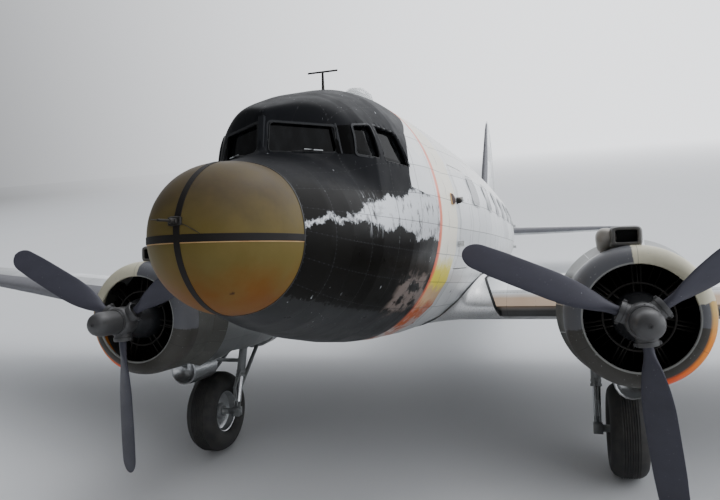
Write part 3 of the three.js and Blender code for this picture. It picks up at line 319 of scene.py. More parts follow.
def side_of_roof(y, z):
    """The cockpit roof's port side at a station and height, the same with the arch's own power."""
    half, top, spring, n = stations(ROOF, y)
    return half * np.clip(1 - (np.clip(z - spring, 0, None) / (top - spring)) ** n, 0, 1) ** (1 / n)


# Pieces made from forms
# Edges that bend by less than this many degrees look smooth, and points this near in metres are one
SMOOTH_UP_TO, SAME_PLACE = 38, 2e-5


def put(name, mesh, keys, replaces, body, angle):
    """Makes the object of a mesh in the parked frame, with its finish or finishes, and sets its body."""
    for key in [keys] if isinstance(keys, str) else keys:
        mesh.materials.append(finishes()[key])
    mesh.shade_smooth()
    mesh.set_sharp_from_angle(angle=math.radians(angle))
    piece = bpy.data.objects.new(name, mesh)
    bpy.context.scene.collection.objects.link(piece)
    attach(piece, body)
    if replaces:
        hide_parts(*replaces)
    return piece


def make(name, form, keys, replaces=(), body="airframe", angle=SMOOTH_UP_TO):
    """A new piece from level points and faces, its doubles merged and its faces turned outwards."""
    points, faces = form
    mesh = bpy.data.meshes.new(name)
    mesh.from_pydata(parked(points).tolist(), [], faces)
    work = bmesh.new()
    work.from_mesh(mesh)
    bmesh.ops.remove_doubles(work, verts=work.verts, dist=SAME_PLACE)
    bmesh.ops.recalc_face_normals(work, faces=work.faces)
    work.to_mesh(mesh)
    work.free()
    return put(name, mesh, keys, replaces, body, angle)


def thicken(piece, thickness):
    """Gives an open shell a wall inwards and sets the result as its mesh."""
    wall = piece.modifiers.new("wall", "SOLIDIFY")
    wall.thickness, wall.offset = thickness * MM, -1
    bpy.context.view_layer.update()
    mesh = bpy.data.meshes.new_from_object(piece.evaluated_get(bpy.context.evaluated_depsgraph_get()))
    piece.modifiers.clear()
    piece.data = mesh
    mesh.set_sharp_from_angle(angle=math.radians(50))


def refined(node, key, value=None, angle=SMOOTH_UP_TO):
    """A merged copy of a CAD node that shades smoothly. Where a value is given, corners on the skin at which
    it is nothing, that face nearly its way, take that skin's own slope."""
    source = frame["nodes"][node]
    mesh = source.data.copy()
    mesh.materials.clear()
    work = bmesh.new()
    work.from_mesh(mesh)
    bmesh.ops.remove_doubles(work, verts=work.verts, dist=SAME_PLACE)
    work.to_mesh(mesh)
    work.free()
    piece = put(node + "_shell", mesh, key, (node,), source["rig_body"], angle)
    if value:
        corners = np.zeros(len(mesh.loops), np.int32)
        mesh.loops.foreach_get("vertex_index", corners)
        places = np.zeros(len(mesh.vertices) * 3)
        mesh.vertices.foreach_get("co", places)
        level = levelled(places.reshape(-1, 3))
        flat = np.zeros(len(mesh.polygons) * 3)
        mesh.polygons.foreach_get("normal", flat)
        sizes = np.zeros(len(mesh.polygons), np.int32)
        mesh.polygons.foreach_get("loop_total", sizes)
        flat = np.repeat(flat.reshape(-1, 3) @ TURN, sizes, 0)
        near = np.abs(value(level)) < 0.03
        slope = outward(value, level)[corners]
        agree = np.where(near[corners], (slope * flat).sum(1), -1)
        chosen = np.where((agree > 0.9)[:, None], slope, flat)
        mesh.normals_split_custom_set((chosen @ TURN.T).tolist())
    return piece


# Finishes
def linear(text):
    """A colour written as sRGB hex, turned to linear light."""
    values = np.array([int(text[i:i + 2], 16) / 255 for i in (0, 2, 4)])
    values = np.where(values <= 0.04045, values / 12.92, ((values + 0.055) / 1.055) ** 2.4)
    return (*values.tolist(), 1.0)


def add(tree, kind, sets=None, inputs=None):
    """Adds a node, sets it up, joins or sets its inputs by name or place, and gives its first shown output.
    Its settings are a table, or one word that names its operation."""
    node = tree.nodes.new("ShaderNode" + kind)
    sets = {"operation": sets} if isinstance(sets, str) else sets or {}
    for key, value in sets.items():
        setattr(node, key, value)
    pairs = inputs.items() if isinstance(inputs, dict) else enumerate(inputs or ())
    for key, value in pairs:
        if isinstance(value, bpy.types.NodeSocket):
            tree.links.new(value, node.inputs[key])
        elif value is not None:
            node.inputs[key].default_value = value
    return next(socket for socket in node.outputs if socket.enabled)


def level_place(tree):
    """Each shaded point in level metres: the place itself, then x to port, y aft and z up."""
    place = add(tree, "TexCoord").node.outputs["Object"]
    place = add(tree, "Mapping", {"vector_type": "TEXTURE"},
        {"Vector": place, "Location": ORIGIN, "Rotation": (-GROUND_ANGLE, 0, 0)})
    return (place, *add(tree, "SeparateXYZ", {}, (place,)).node.outputs)


def mottle(tree, place, size, low, high, stretch=(1, 1, 1), detail=4.0):
    """Patches about size millimetres across: a noise whose values from low to high run from 0 to 1."""
    place = add(tree, "Mapping", {"vector_type": "POINT"}, {"Vector": place, "Scale": stretch})
    noise = add(tree, "TexNoise", {}, {"Vector": place, "Scale": 1000 / size, "Detail": detail,
        "Roughness": 0.62})
    return add(tree, "MapRange", {}, (noise, low, high, 0.0, 1.0))


def step(tree, value, edge, soft=0.004):
    """Nothing below an edge, one above it, with a soft change between."""
    if isinstance(edge, bpy.types.NodeSocket):
        value, edge = add(tree, "Math", "SUBTRACT", (value, edge)), 0.0
    return add(tree, "MapRange", {}, (value, edge - soft, edge + soft, 0.0, 1.0))


def between(tree, value, low, high, soft=0.004):
    """One between two edges and nothing outside them: the product of the two steps."""
    rise = step(tree, value, low, soft)
    fall = add(tree, "Math", "SUBTRACT", (1.0, step(tree, value, high, soft)))
    return product(tree, rise, fall)


def product(tree, first, *others):
    """Masks multiplied together, or weakened by a number."""
    for other in others:
        first = add(tree, "Math", "MULTIPLY", (first, other))
    return first


def lines(tree, value, pitch, width):
    """One on a thin line at every pitch metres of a value: distance to the nearest against half the width."""
    away = add(tree, "Math", "PINGPONG", (value, pitch / 2))
    return add(tree, "MapRange", {}, (away, width / 2, 0.0, 0.0, 1.0))


def rivets(tree, along, across, row, spacing, radius):
    """Round heads in rows a row apart along, a spacing apart across: squared distance against the radius."""
    a = add(tree, "Math", "PINGPONG", (along, row / 2))
    b = add(tree, "Math", "PINGPONG", (across, spacing / 2))
    squared = add(tree, "Math", "MULTIPLY_ADD", (a, a, product(tree, b, b)))
    return add(tree, "MapRange", {}, (squared, radius * radius, 0.0, 0.0, 1.0))


def profile(tree, value, points, reach=4.0):
    """A broken line through (value, result) points, as a grey ramp whose full white stands for reach."""
    first, last = points[0][0], points[-1][0]
    value = add(tree, "MapRange", {}, (value, first, last, 0.0, 1.0))
    ramp = add(tree, "ValToRGB", {}, (value,)).node
    elements = ramp.color_ramp.elements
    while len(elements) < len(points):
        elements.new(0.5)
    for element, (at, result) in zip(elements, points):
        element.position = (at - first) / (last - first)
        grey = result / reach
        element.color = (grey, grey, grey, 1)
    return add(tree, "Math", "MULTIPLY", (ramp.outputs["Color"], reach))


def shade_of(value):
    """A hex text, a colour setting or a socket, as what a colour input takes."""
    if isinstance(value, str):
        return linear(value)
    return value if isinstance(value, bpy.types.NodeSocket) else (*value, 1.0)[:4]


def tint(tree, under, *layers):
    """Colours laid over each other: pairs of a mask and a hex colour."""
    colour = shade_of(under)
    for mask, over in layers:
        over = shade_of(over)
        colour = add(tree, "Mix", {"data_type": "RGBA"}, {0: mask, 6: colour, 7: over}).node.outputs[2]
    return colour


def sheets(tree, along, across, length, width):
    """A steady random value for each sheet of skin: white noise on the sheet's row and column."""
    row = add(tree, "Math", "FLOOR", (product(tree, along, 1 / length),))
    column = add(tree, "Math", "FLOOR", (product(tree, across, 1 / width),))
    both = add(tree, "CombineXYZ", {}, (row, column, 0.0))
    return add(tree, "TexWhiteNoise", {"noise_dimensions": "2D"}, (both,))


def surface(name, metallic=0.0, roughness=0.5, **fixed):
    """A new material with its shader's constant values set on the shader itself."""
    material = bpy.data.materials.new(name)
    material.use_nodes = True
    tree = material.node_tree
    shader = tree.nodes["Principled BSDF"]
    shader.inputs["Metallic"].default_value = metallic
    shader.inputs["Roughness"].default_value = roughness
    for key, value in fixed.items():
        shader.inputs[key.replace("_", " ")].default_value = value
    return material, tree, shader


def finish(tree, shader, colour, roughness=None, relief=None, depth=1.0, strength=0.6, metallic=None):
    """Joins a surface's colour, its roughness and its bump, whose full height is depth millimetres."""
    if isinstance(colour, bpy.types.NodeSocket):
        tree.links.new(colour, shader.inputs["Base Color"])
    else:
        shader.inputs["Base Color"].default_value = colour
    for socket, key in ((roughness, "Roughness"), (metallic, "Metallic")):
        if socket is not None:
            tree.links.new(socket, shader.inputs[key])
    if relief is not None:
        bump = add(tree, "Bump", {}, {"Strength": strength, "Distance": depth * MM, "Height": relief})
        tree.links.new(bump, shader.inputs["Normal"])


def plain_paint(name, colour, worn, roughness=0.45, metallic=0.0, size=60.0, amount=0.35, depth=0.5):
    """Sprayed paint or cast metal that has aged: cloudy tone, small chips and a fine uneven surface."""
    material, tree, shader = surface(name, metallic, roughness, Specular_IOR_Level=0.3)
    place, *_ = level_place(tree)
    cloud = mottle(tree, place, size * 6, 0.3, 0.75)
    chips = mottle(tree, place, size * 0.35, 0.66, 0.72)
    grain = mottle(tree, place, size * 0.12, 0.0, 1.0)
    shade = tint(tree, colour, (product(tree, cloud, amount), worn), (product(tree, chips, 0.5), worn))
    rough = add(tree, "MapRange", {}, (grain, 0.2, 0.8, max(roughness - 0.1, 0.03), roughness + 0.12))
    finish(tree, shader, shade, rough, add(tree, "Math", {}, (grain, product(tree, chips, -0.8))), depth,
        0.35)
    return material


def fuselage_finish():
    """Aluminium sheet, rolled and riveted, part painted: laps and rivets, gloss black nose, warning band."""
    material, tree, shader = surface("painted_aluminium_skin", 0.0, 0.4, Specular_IOR_Level=0.08)
    place, x, y, z = level_place(tree)
    settings = bpy.context.scene.plane_finish
    # How far round the skin a point lies: its angle about the cabin's middle line, times a usual radius
    middle_height, usual_radius = 0.93, 1.2
    height = add(tree, "Math", "SUBTRACT", (z, middle_height))
    girth = product(tree, add(tree, "Math", "ARCTAN2", (x, height)), usual_radius)
    # Ragged edges come from one shared noise, added to whatever is being compared
    rag = product(tree, mottle(tree, place, 260, 0.25, 0.75, detail=8.0), 0.14)
    fray = product(tree, mottle(tree, place, 34, 0.3, 0.7, detail=6.0), 0.05)
    loose_z = add(tree, "Math", {}, (z, add(tree, "Math", {}, (rag, fray))))
    # Black runs aft to the band below, and to a rising edge behind the cockpit above
    band_front, band_back = 2.985, 3.65
    boundary = profile(tree, z, [(-0.4, band_front), (1.08, band_front), (1.16, 2.235), (1.267, 2.236),
        (1.397, 2.279), (1.506, 2.338), (1.694, 2.501), (1.994, 3.045), (2.3, 3.4)])
    dark = step(tree, add(tree, "Math", "SUBTRACT", (boundary, y)), 0.0)
    hood_top = step(tree, loose_z, 1.17, 0.05)
    waterline = profile(tree, y, [(0.63, 1.31), (1.3, 1.185), (1.9, 1.10), (3.0, 0.96)])
    belly = step(tree, add(tree, "Math", "SUBTRACT", (waterline, add(tree, "Math", {}, (z, fray)))), 0.975,
        0.006)
    # The band along the nose's side, narrow in front and wide behind: partly worn paint, partly a painted
    # reflection of a bright wall
    low = profile(tree, y, [(0.64, 0.885), (1.0, 0.895), (1.4, 0.895), (1.9, 0.885), (2.3, 0.81),
        (3.0, 0.79)])
    high = profile(tree, y, [(0.64, 0.915), (1.0, 0.93), (1.3, 0.95), (1.47, 1.05), (1.8, 1.135),
        (2.3, 1.23), (3.0, 1.26)])
    above = step(tree, loose_z, low, 0.012)
    under = add(tree, "Math", "SUBTRACT", (1.0, step(tree, loose_z, high, 0.012)))
    worn = product(tree, above, under, mottle(tree, place, 420, 0.30, 0.42, (1, 0.5, 1.6), 6.0))
    scratches = mottle(tree, place, 46, 0.69, 0.72, (1, 1.2, 0.25), 5.0)
    # Thin upright scratches and flakes where a badge has been rubbed off
    rubbed = product(tree, between(tree, y, 1.38, 1.60, 0.04), between(tree, z, 0.74, 1.02, 0.05))
    scored = product(tree, mottle(tree, place, 60, 0.53, 0.57, (1, 2.2, 0.22), 8.0), rubbed)
    scratches = product(tree, add(tree, "Math", "MAXIMUM",
        (product(tree, scratches, 0.6), product(tree, scored, 0.5))), dark)
    paint = tint(tree, settings.nose_side, (hood_top, settings.nose_top), (belly, settings.nose_belly))
    clouds = mottle(tree, place, 700, 0.35, 0.8)
    # Each sheet of skin has its own tone
    tone = sheets(tree, y, girth, 0.95, 0.66)
    white = step(tree, loose_z, 1.62, 0.02)
    metal = tint(tree, settings.alloy, (product(tree, tone, 0.5), "B9BCBF"),
        (product(tree, mottle(tree, place, 900, 0.45, 0.8, (1, 0.3, 1)), 0.4), "A79F90"))
    # The bare metal is darkened towards the bottom: painted shade under the plane
    metal = tint(tree, metal, (product(tree, white, 0.85), settings.roof_white),
        (product(tree, step(tree, product(tree, loose_z, -1.0), 0.0, 0.25), 0.25), "8B857C"))
    # The propellers' warning band: cream above, yellow, then orange below, with bare patches at the bottom
    band = between(tree, y, band_front, band_back, 0.006)
    band_colour = tint(tree, "B4571C", (step(tree, loose_z, 0.16, 0.05), "CBA77C"),
        (step(tree, loose_z, 0.33, 0.04), "EADB40"), (step(tree, loose_z, 0.56, 0.07), "F7F3E4"))
    flaked = product(tree, mottle(tree, place, 120, 0.47, 0.53, detail=8.0),
        step(tree, product(tree, z, -1.0), 0.1, 0.2))
    bare_band = add(tree, "Math", "MAXIMUM", (flaked, product(tree, scratches, 0.5)))
    band = product(tree, band, add(tree, "Math", "SUBTRACT", (1.0, bare_band)))
    line = between(tree, y, 2.925, 3.030, 0.008)
    low_patch = product(tree, between(tree, y, 2.12, band_front, 0.05),
        between(tree, loose_z, 0.15, 0.46, 0.03), mottle(tree, place, 150, 0.44, 0.5, (1, 0.6, 1), 7.0))
    # Light over scratches and band: bare metal in the scratches, and in the band partly bare metal, partly a
    # painted reflection
    chips_and_reflection = add(tree, "Math", "MAXIMUM", (scratches, product(tree, worn, 0.92)))
    paint = tint(tree, paint, (product(tree, low_patch, 0.8), "83766F"),
        (product(tree, clouds, 0.2), "24221E"), (chips_and_reflection, "D6D9DD"),
        (product(tree, worn, mottle(tree, place, 70, 0.56, 0.68, (1, 1, 0.6), 7.0)), "4C4B4B"))
    colour = tint(tree, metal, (band, band_colour), (dark, paint),
        (product(tree, line, step(tree, loose_z, 0.2, 0.3), 0.85), "EE6A44"))
    # Laps are drawn 13 and 10 mm wide and rivets 16 mm across, about twice real size, so that they show
    frames_apart, stringers_apart, rivets_apart, rivet_radius = 0.475, 0.33, 0.05, 0.008
    seams = add(tree, "Math", "MAXIMUM",
        (lines(tree, y, frames_apart, 0.013), lines(tree, girth, stringers_apart, 0.010)))
    heads = add(tree, "Math", "MAXIMUM",
        (rivets(tree, y, girth, frames_apart, rivets_apart, rivet_radius),
        rivets(tree, girth, y, stringers_apart, rivets_apart, rivet_radius)))
    colour = tint(tree, colour, (product(tree, seams, 0.85), "1B1B1C"), (product(tree, heads, 0.4), "4A4B4F"))
    relief = add(tree, "Math", "SUBTRACT", (product(tree, heads, 0.6), seams))
    buckled = product(tree, mottle(tree, place, 380, 0.2, 0.8), 0.8)
    relief = add(tree, "Math", {}, (relief, buckled))
    covered = add(tree, "Math", "MAXIMUM",
        (product(tree, dark, add(tree, "Math", "SUBTRACT", (1.0, chips_and_reflection))),
        add(tree, "Math", "MAXIMUM", (band, product(tree, white, 0.7)))))
    metallic = add(tree, "MapRange", {}, (covered, 0.0, 1.0, 0.55, 0.0))
    rough = add(tree, "MapRange", {}, (mottle(tree, place, 160, 0.2, 0.8), 0.0, 1.0, 0.24, 0.42))
    rough = add(tree, "Math", "MULTIPLY_ADD", (chips_and_reflection, 0.15, rough))
    rough = add(tree, "Math", "MULTIPLY_ADD", (product(tree, dark, hood_top), 0.16, rough))
    finish(tree, shader, colour, rough, relief, 1.6, 0.35, metallic)
    return material


def alloy_finish(name, along, across, sheet, tone_low, settings_colour):
    """Riveted aluminium sheet on wings and fairings: seams and rivets run along two of the level axes."""
    material, tree, shader = surface(name, 0.85, 0.35)
    place, *axes = level_place(tree)
    a, b = axes["xyz".index(along)], axes["xyz".index(across)]
    tone = sheets(tree, a, b, *sheet)
    streaks = mottle(tree, place, 700, 0.42, 0.8, (1, 0.25, 1))
    colour = tint(tree, settings_colour, (product(tree, tone, 0.45), tone_low),
        (product(tree, streaks, 0.35), "7F7A70"))
    if name.startswith("wing"):
        # Height over the wing's mean line gives a painted tan reflection of the floor along the leading edge
        # and painted shade on the underside
        x, y, z = axes
        out = add(tree, "Math", "MAXIMUM",
            (add(tree, "Math", "SUBTRACT", (add(tree, "Math", "ABSOLUTE", (x,)), 4.0)), 0.0))
        over = add(tree, "Math", "MULTIPLY_ADD", (out, -math.tan(DIHEDRAL), z))
        over = add(tree, "Math", "MULTIPLY_ADD", (add(tree, "Math", "SUBTRACT", (y, 5.08)), INCIDENCE, over))
        under = step(tree, product(tree, over, -1.0), 0.155, 0.02)
        edge = product(tree, between(tree, over, -0.15, 0.02, 0.03),
            step(tree, product(tree, y, -1.0), -5.4, 0.15))
        colour = tint(tree, colour, (product(tree, edge, 0.75), "B6946E"),
            (product(tree, under, 0.8), "4B4845"))
    seams = add(tree, "Math", "MAXIMUM", (lines(tree, a, sheet[0], 0.006), lines(tree, b, sheet[1], 0.006)))
    heads = add(tree, "Math", "MAXIMUM",
        (rivets(tree, a, b, sheet[0] / 2, 0.045, 0.007), rivets(tree, b, a, sheet[1] / 2, 0.045, 0.007)))
    colour = tint(tree, colour, (product(tree, seams, 0.55), "35363A"), (product(tree, heads, 0.3), "4A4B50"))
    relief = add(tree, "Math", "SUBTRACT", (product(tree, heads, 0.6), seams))
    relief = add(tree, "Math", {}, (relief, product(tree, mottle(tree, place, 300, 0.2, 0.8), 0.7)))
    rough = add(tree, "MapRange", {}, (mottle(tree, place, 130, 0.2, 0.8), 0.0, 1.0, 0.26, 0.44))
    finish(tree, shader, colour, rough, relief, 1.4, 0.35)
    return material


def cowling_finish():
    """Painted aluminium pressings: cream and bright orange arcs on the lip's outboard side, grey above."""
    material, tree, shader = surface("cowling_enamel", 0.0, 0.4, Specular_IOR_Level=0.25)
    place, x, y, z = level_place(tree)
    outward_x = add(tree, "Math", "SUBTRACT", (add(tree, "Math", "ABSOLUTE", (x,)), ENGINE_OFFSET * MM))
    up = add(tree, "Math", "SUBTRACT", (z, ENGINE_HEIGHT * MM))
    angle = add(tree, "Math", "ARCTAN2", (outward_x, up))
    frayed = add(tree, "Math", {}, (angle, product(tree, mottle(tree, place, 60, 0.3, 0.7), 0.03)))
    # The lip's ring ends at a joint, and the outer skin carries on behind it
    joint = 3.62
    lip = step(tree, add(tree, "Math", "SUBTRACT", (joint, y)), 0.0, 0.006)
    cream = product(tree, between(tree, frayed, -0.06, 1.36, 0.008), lip)
    inner = add(tree, "Math", "SQRT", (add(tree, "Math", "MULTIPLY_ADD",
        (outward_x, outward_x, product(tree, up, up))),))
    orange = product(tree, between(tree, frayed, 1.36, 2.9, 0.008), lip,
        step(tree, inner, profile(tree, y, [(3.1, 0.572), (3.3, 0.60), (3.45, 0.65), (3.7, 0.66)]), 0.012))
    glow = tint(tree, "D8B268", (step(tree, frayed, 1.75, 0.25), "F08A1E"),
        (step(tree, frayed, 2.45, 0.25), "F0560C"))
    lower = step(tree, add(tree, "Math", "ABSOLUTE", (frayed,)), 1.75, 0.01)
    base = tint(tree, "65666B", (lower, "464440"))
    behind = step(tree, y, joint, 0.004)
    base = tint(tree, base, (behind, "53534F"), (product(tree, behind, step(tree, up, 0.40, 0.03)), "B4B6B6"))
    # The lip's innermost ring is lighter: a painted highlight
    base = tint(tree, base, (product(tree, step(tree, product(tree, inner, -1.0), -0.534, 0.003), 0.8),
        "A6A7A3"))
    clouds = mottle(tree, place, 380, 0.35, 0.8)
    chips = mottle(tree, place, 24, 0.67, 0.71)
    seams = add(tree, "Math", "MAXIMUM",
        (lines(tree, product(tree, angle, 0.72), 1.508, 0.008), between(tree, y, 3.617, 3.623, 0.002)))
    heads = rivets(tree, product(tree, angle, 0.72), y, 1.508 / 2, 0.06, 0.008)
    colour = tint(tree, base, (cream, "D9D4BC"), (orange, glow), (product(tree, clouds, 0.25), "5A5A55"),
        (product(tree, chips, 0.7), "A9ABAB"), (product(tree, seams, 0.7), "1E1E1F"))
    relief = add(tree, "Math", "SUBTRACT", (heads, seams))
    relief = add(tree, "Math", {}, (relief, product(tree, clouds, 0.6)))
    rough = add(tree, "MapRange", {}, (mottle(tree, place, 110, 0.2, 0.8), 0.0, 1.0, 0.32, 0.55))
    finish(tree, shader, colour, rough, relief, 1.2, 0.4)
    return material


def radome_finish():
    """Glass fibre in aged cream lacquer: chalky and warm, gone ochre underneath, with a rust mark."""
    material, tree, shader = surface("radome_glassfibre", 0.0, 0.5, Specular_IOR_Level=0.14,
        Coat_Weight=0.03, Coat_Roughness=0.3)
    place, *_, z = level_place(tree)
    settings = bpy.context.scene.plane_finish
    sag = add(tree, "Math", {}, (z, product(tree, mottle(tree, place, 420, 0.2, 0.8), 0.22)))
    ochre = add(tree, "MapRange", {"interpolation_type": "SMOOTHSTEP"}, (sag, 0.68, 0.36, 0.0, 1.0))
    warm = add(tree, "MapRange", {"interpolation_type": "SMOOTHSTEP"}, (sag, 1.15, 0.7, 0.0, 1.0))
    spot = add(tree, "VectorMath", "DISTANCE", (place, (0.196, 0.24, 0.352))).node.outputs["Value"]
    spot = add(tree, "Math", {}, (spot, product(tree, mottle(tree, place, 20, 0.3, 0.7), 0.02)))
    rust = add(tree, "MapRange", {}, (spot, 0.032, 0.014, 0.0, 1.0))
    clouds = mottle(tree, place, 240, 0.35, 0.8)
    pits = mottle(tree, place, 12, 0.70, 0.74)
    colour = tint(tree, settings.radome_top, (warm, settings.radome),
        (product(tree, ochre, 0.95), settings.radome_low), (product(tree, clouds, 0.3), "7D6E45"),
        (product(tree, pits, 0.6), "4A3A20"), (rust, "3A2210"))
    grain = mottle(tree, place, 9, 0.0, 1.0)
    relief = add(tree, "Math", "SUBTRACT", (product(tree, grain, 0.2), pits))
    rough = add(tree, "MapRange", {}, (clouds, 0.0, 1.0, 0.44, 0.6))
    finish(tree, shader, colour, rough, relief, 0.5, 0.3)
    return material


def glass_finish(name, colour, transmission, roughness=0.05, shine=0.25):
    """Old float or acrylic glazing: clear to smoky, with faint wipe marks and dust."""
    material, tree, shader = surface(name, 0.0, roughness, IOR=1.5, Specular_IOR_Level=shine,
        Transmission_Weight=transmission)
    place, *_ = level_place(tree)
    smears = mottle(tree, place, 90, 0.45, 0.8, (1, 1, 0.4))
    colour = tint(tree, colour, (product(tree, smears, 0.05), "8C9196"))
    rough = add(tree, "MapRange", {}, (smears, 0.0, 1.0, roughness, roughness + 0.12))
    finish(tree, shader, colour, rough, smears, 0.05, 0.2)
    return material


def rubber_finish(name, colour, dusty):
    """Vulcanised rubber: matt and dark, with grey dust in its fine texture."""
    material, tree, shader = surface(name, 0.0, 0.75)
    place, *_ = level_place(tree)
    dust = mottle(tree, place, 120, 0.4, 0.8)
    grain = mottle(tree, place, 5, 0.0, 1.0)
    colour = tint(tree, colour, (product(tree, dust, 0.6), dusty))
    rough = add(tree, "MapRange", {}, (dust, 0.0, 1.0, 0.6, 0.85))
    finish(tree, shader, colour, rough, add(tree, "Math", {}, (grain, dust)), 0.6, 0.4)
    return material


def cloth_finish(name, colour, deep, thread=4.0):
    """Woven webbing or leathercloth: crossed threads, drawn 4 mm apart so that they show."""
    material, tree, shader = surface(name, 0.0, 0.8, Sheen_Weight=0.2, Sheen_Roughness=0.5)
    place, x, y, _ = level_place(tree)
    weave = product(tree, lines(tree, x, thread * MM, thread * MM), lines(tree, y, thread * MM, thread * MM))
    clouds = mottle(tree, place, 130, 0.3, 0.8)
    colour = tint(tree, colour, (product(tree, clouds, 0.5), deep))
    rough = add(tree, "MapRange", {}, (clouds, 0.0, 1.0, 0.7, 0.9))
    finish(tree, shader, colour, rough, weave, 0.6, 0.5)
    return material


def propeller_finish():
    """Forged aluminium blade in thin grey lacquer: lilac-grey, clouded darker, with bright nicks."""
    material, tree, shader = surface("blade_lacquer", 0.1, 0.42, Specular_IOR_Level=0.25)
    place, *_ = level_place(tree)
    clouds = mottle(tree, place, 200, 0.3, 0.8, (0.5, 1, 1))
    nicks = mottle(tree, place, 14, 0.7, 0.73)
    colour = tint(tree, bpy.context.scene.plane_finish.blade, (product(tree, clouds, 0.45), "3B3A42"),
        (product(tree, nicks, 0.8), "B9BABF"))
    rough = add(tree, "MapRange", {}, (clouds, 0.0, 1.0, 0.34, 0.52))
    finish(tree, shader, colour, rough, add(tree, "Math", {}, (clouds, product(tree, nicks, -1.0))), 0.4, 0.3)
    return material


# The studio's light: a pale surround, brightest low behind the plane on its port side
GLOW_TOWARD, GLOW_SPAN, GLOW_STRENGTH = (0.74, 0.65, 0.17), (-0.45, 0.85), (0.14, 2.5)


def floor_finish():
    """Sealed concrete, painted pale: almost even, and fading far off into the studio's surround."""
    material, tree, shader = surface("pale_floor", 0.0, 0.6)
    place = add(tree, "TexCoord").node.outputs["Object"]
    clouds = mottle(tree, place, 3000, 0.3, 0.8)
    finish(tree, shader, tint(tree, "DEE0E2", (product(tree, clouds, 0.3), "D4D6D9")))
    way = add(tree, "VectorMath", "NORMALIZE", (place,))
    facing = add(tree, "VectorMath", "DOT_PRODUCT", (way, GLOW_TOWARD)).node.outputs["Value"]
    glow = add(tree, "MapRange", {"interpolation_type": "SMOOTHSTEP"}, (facing, *GLOW_SPAN, *GLOW_STRENGTH))
    surround = add(tree, "Emission", {}, (linear("ECEEF2"), glow))
    far = add(tree, "VectorMath", "LENGTH", (place,)).node.outputs["Value"]
    fade = add(tree, "MapRange", {"interpolation_type": "SMOOTHSTEP"}, (far, 22.0, 150.0, 0.0, 1.0))
    both = add(tree, "MixShader", {}, (fade, shader.outputs[0], surround))
    tree.links.new(both, tree.nodes["Material Output"].inputs["Surface"])
    return material


FINISHES = {}


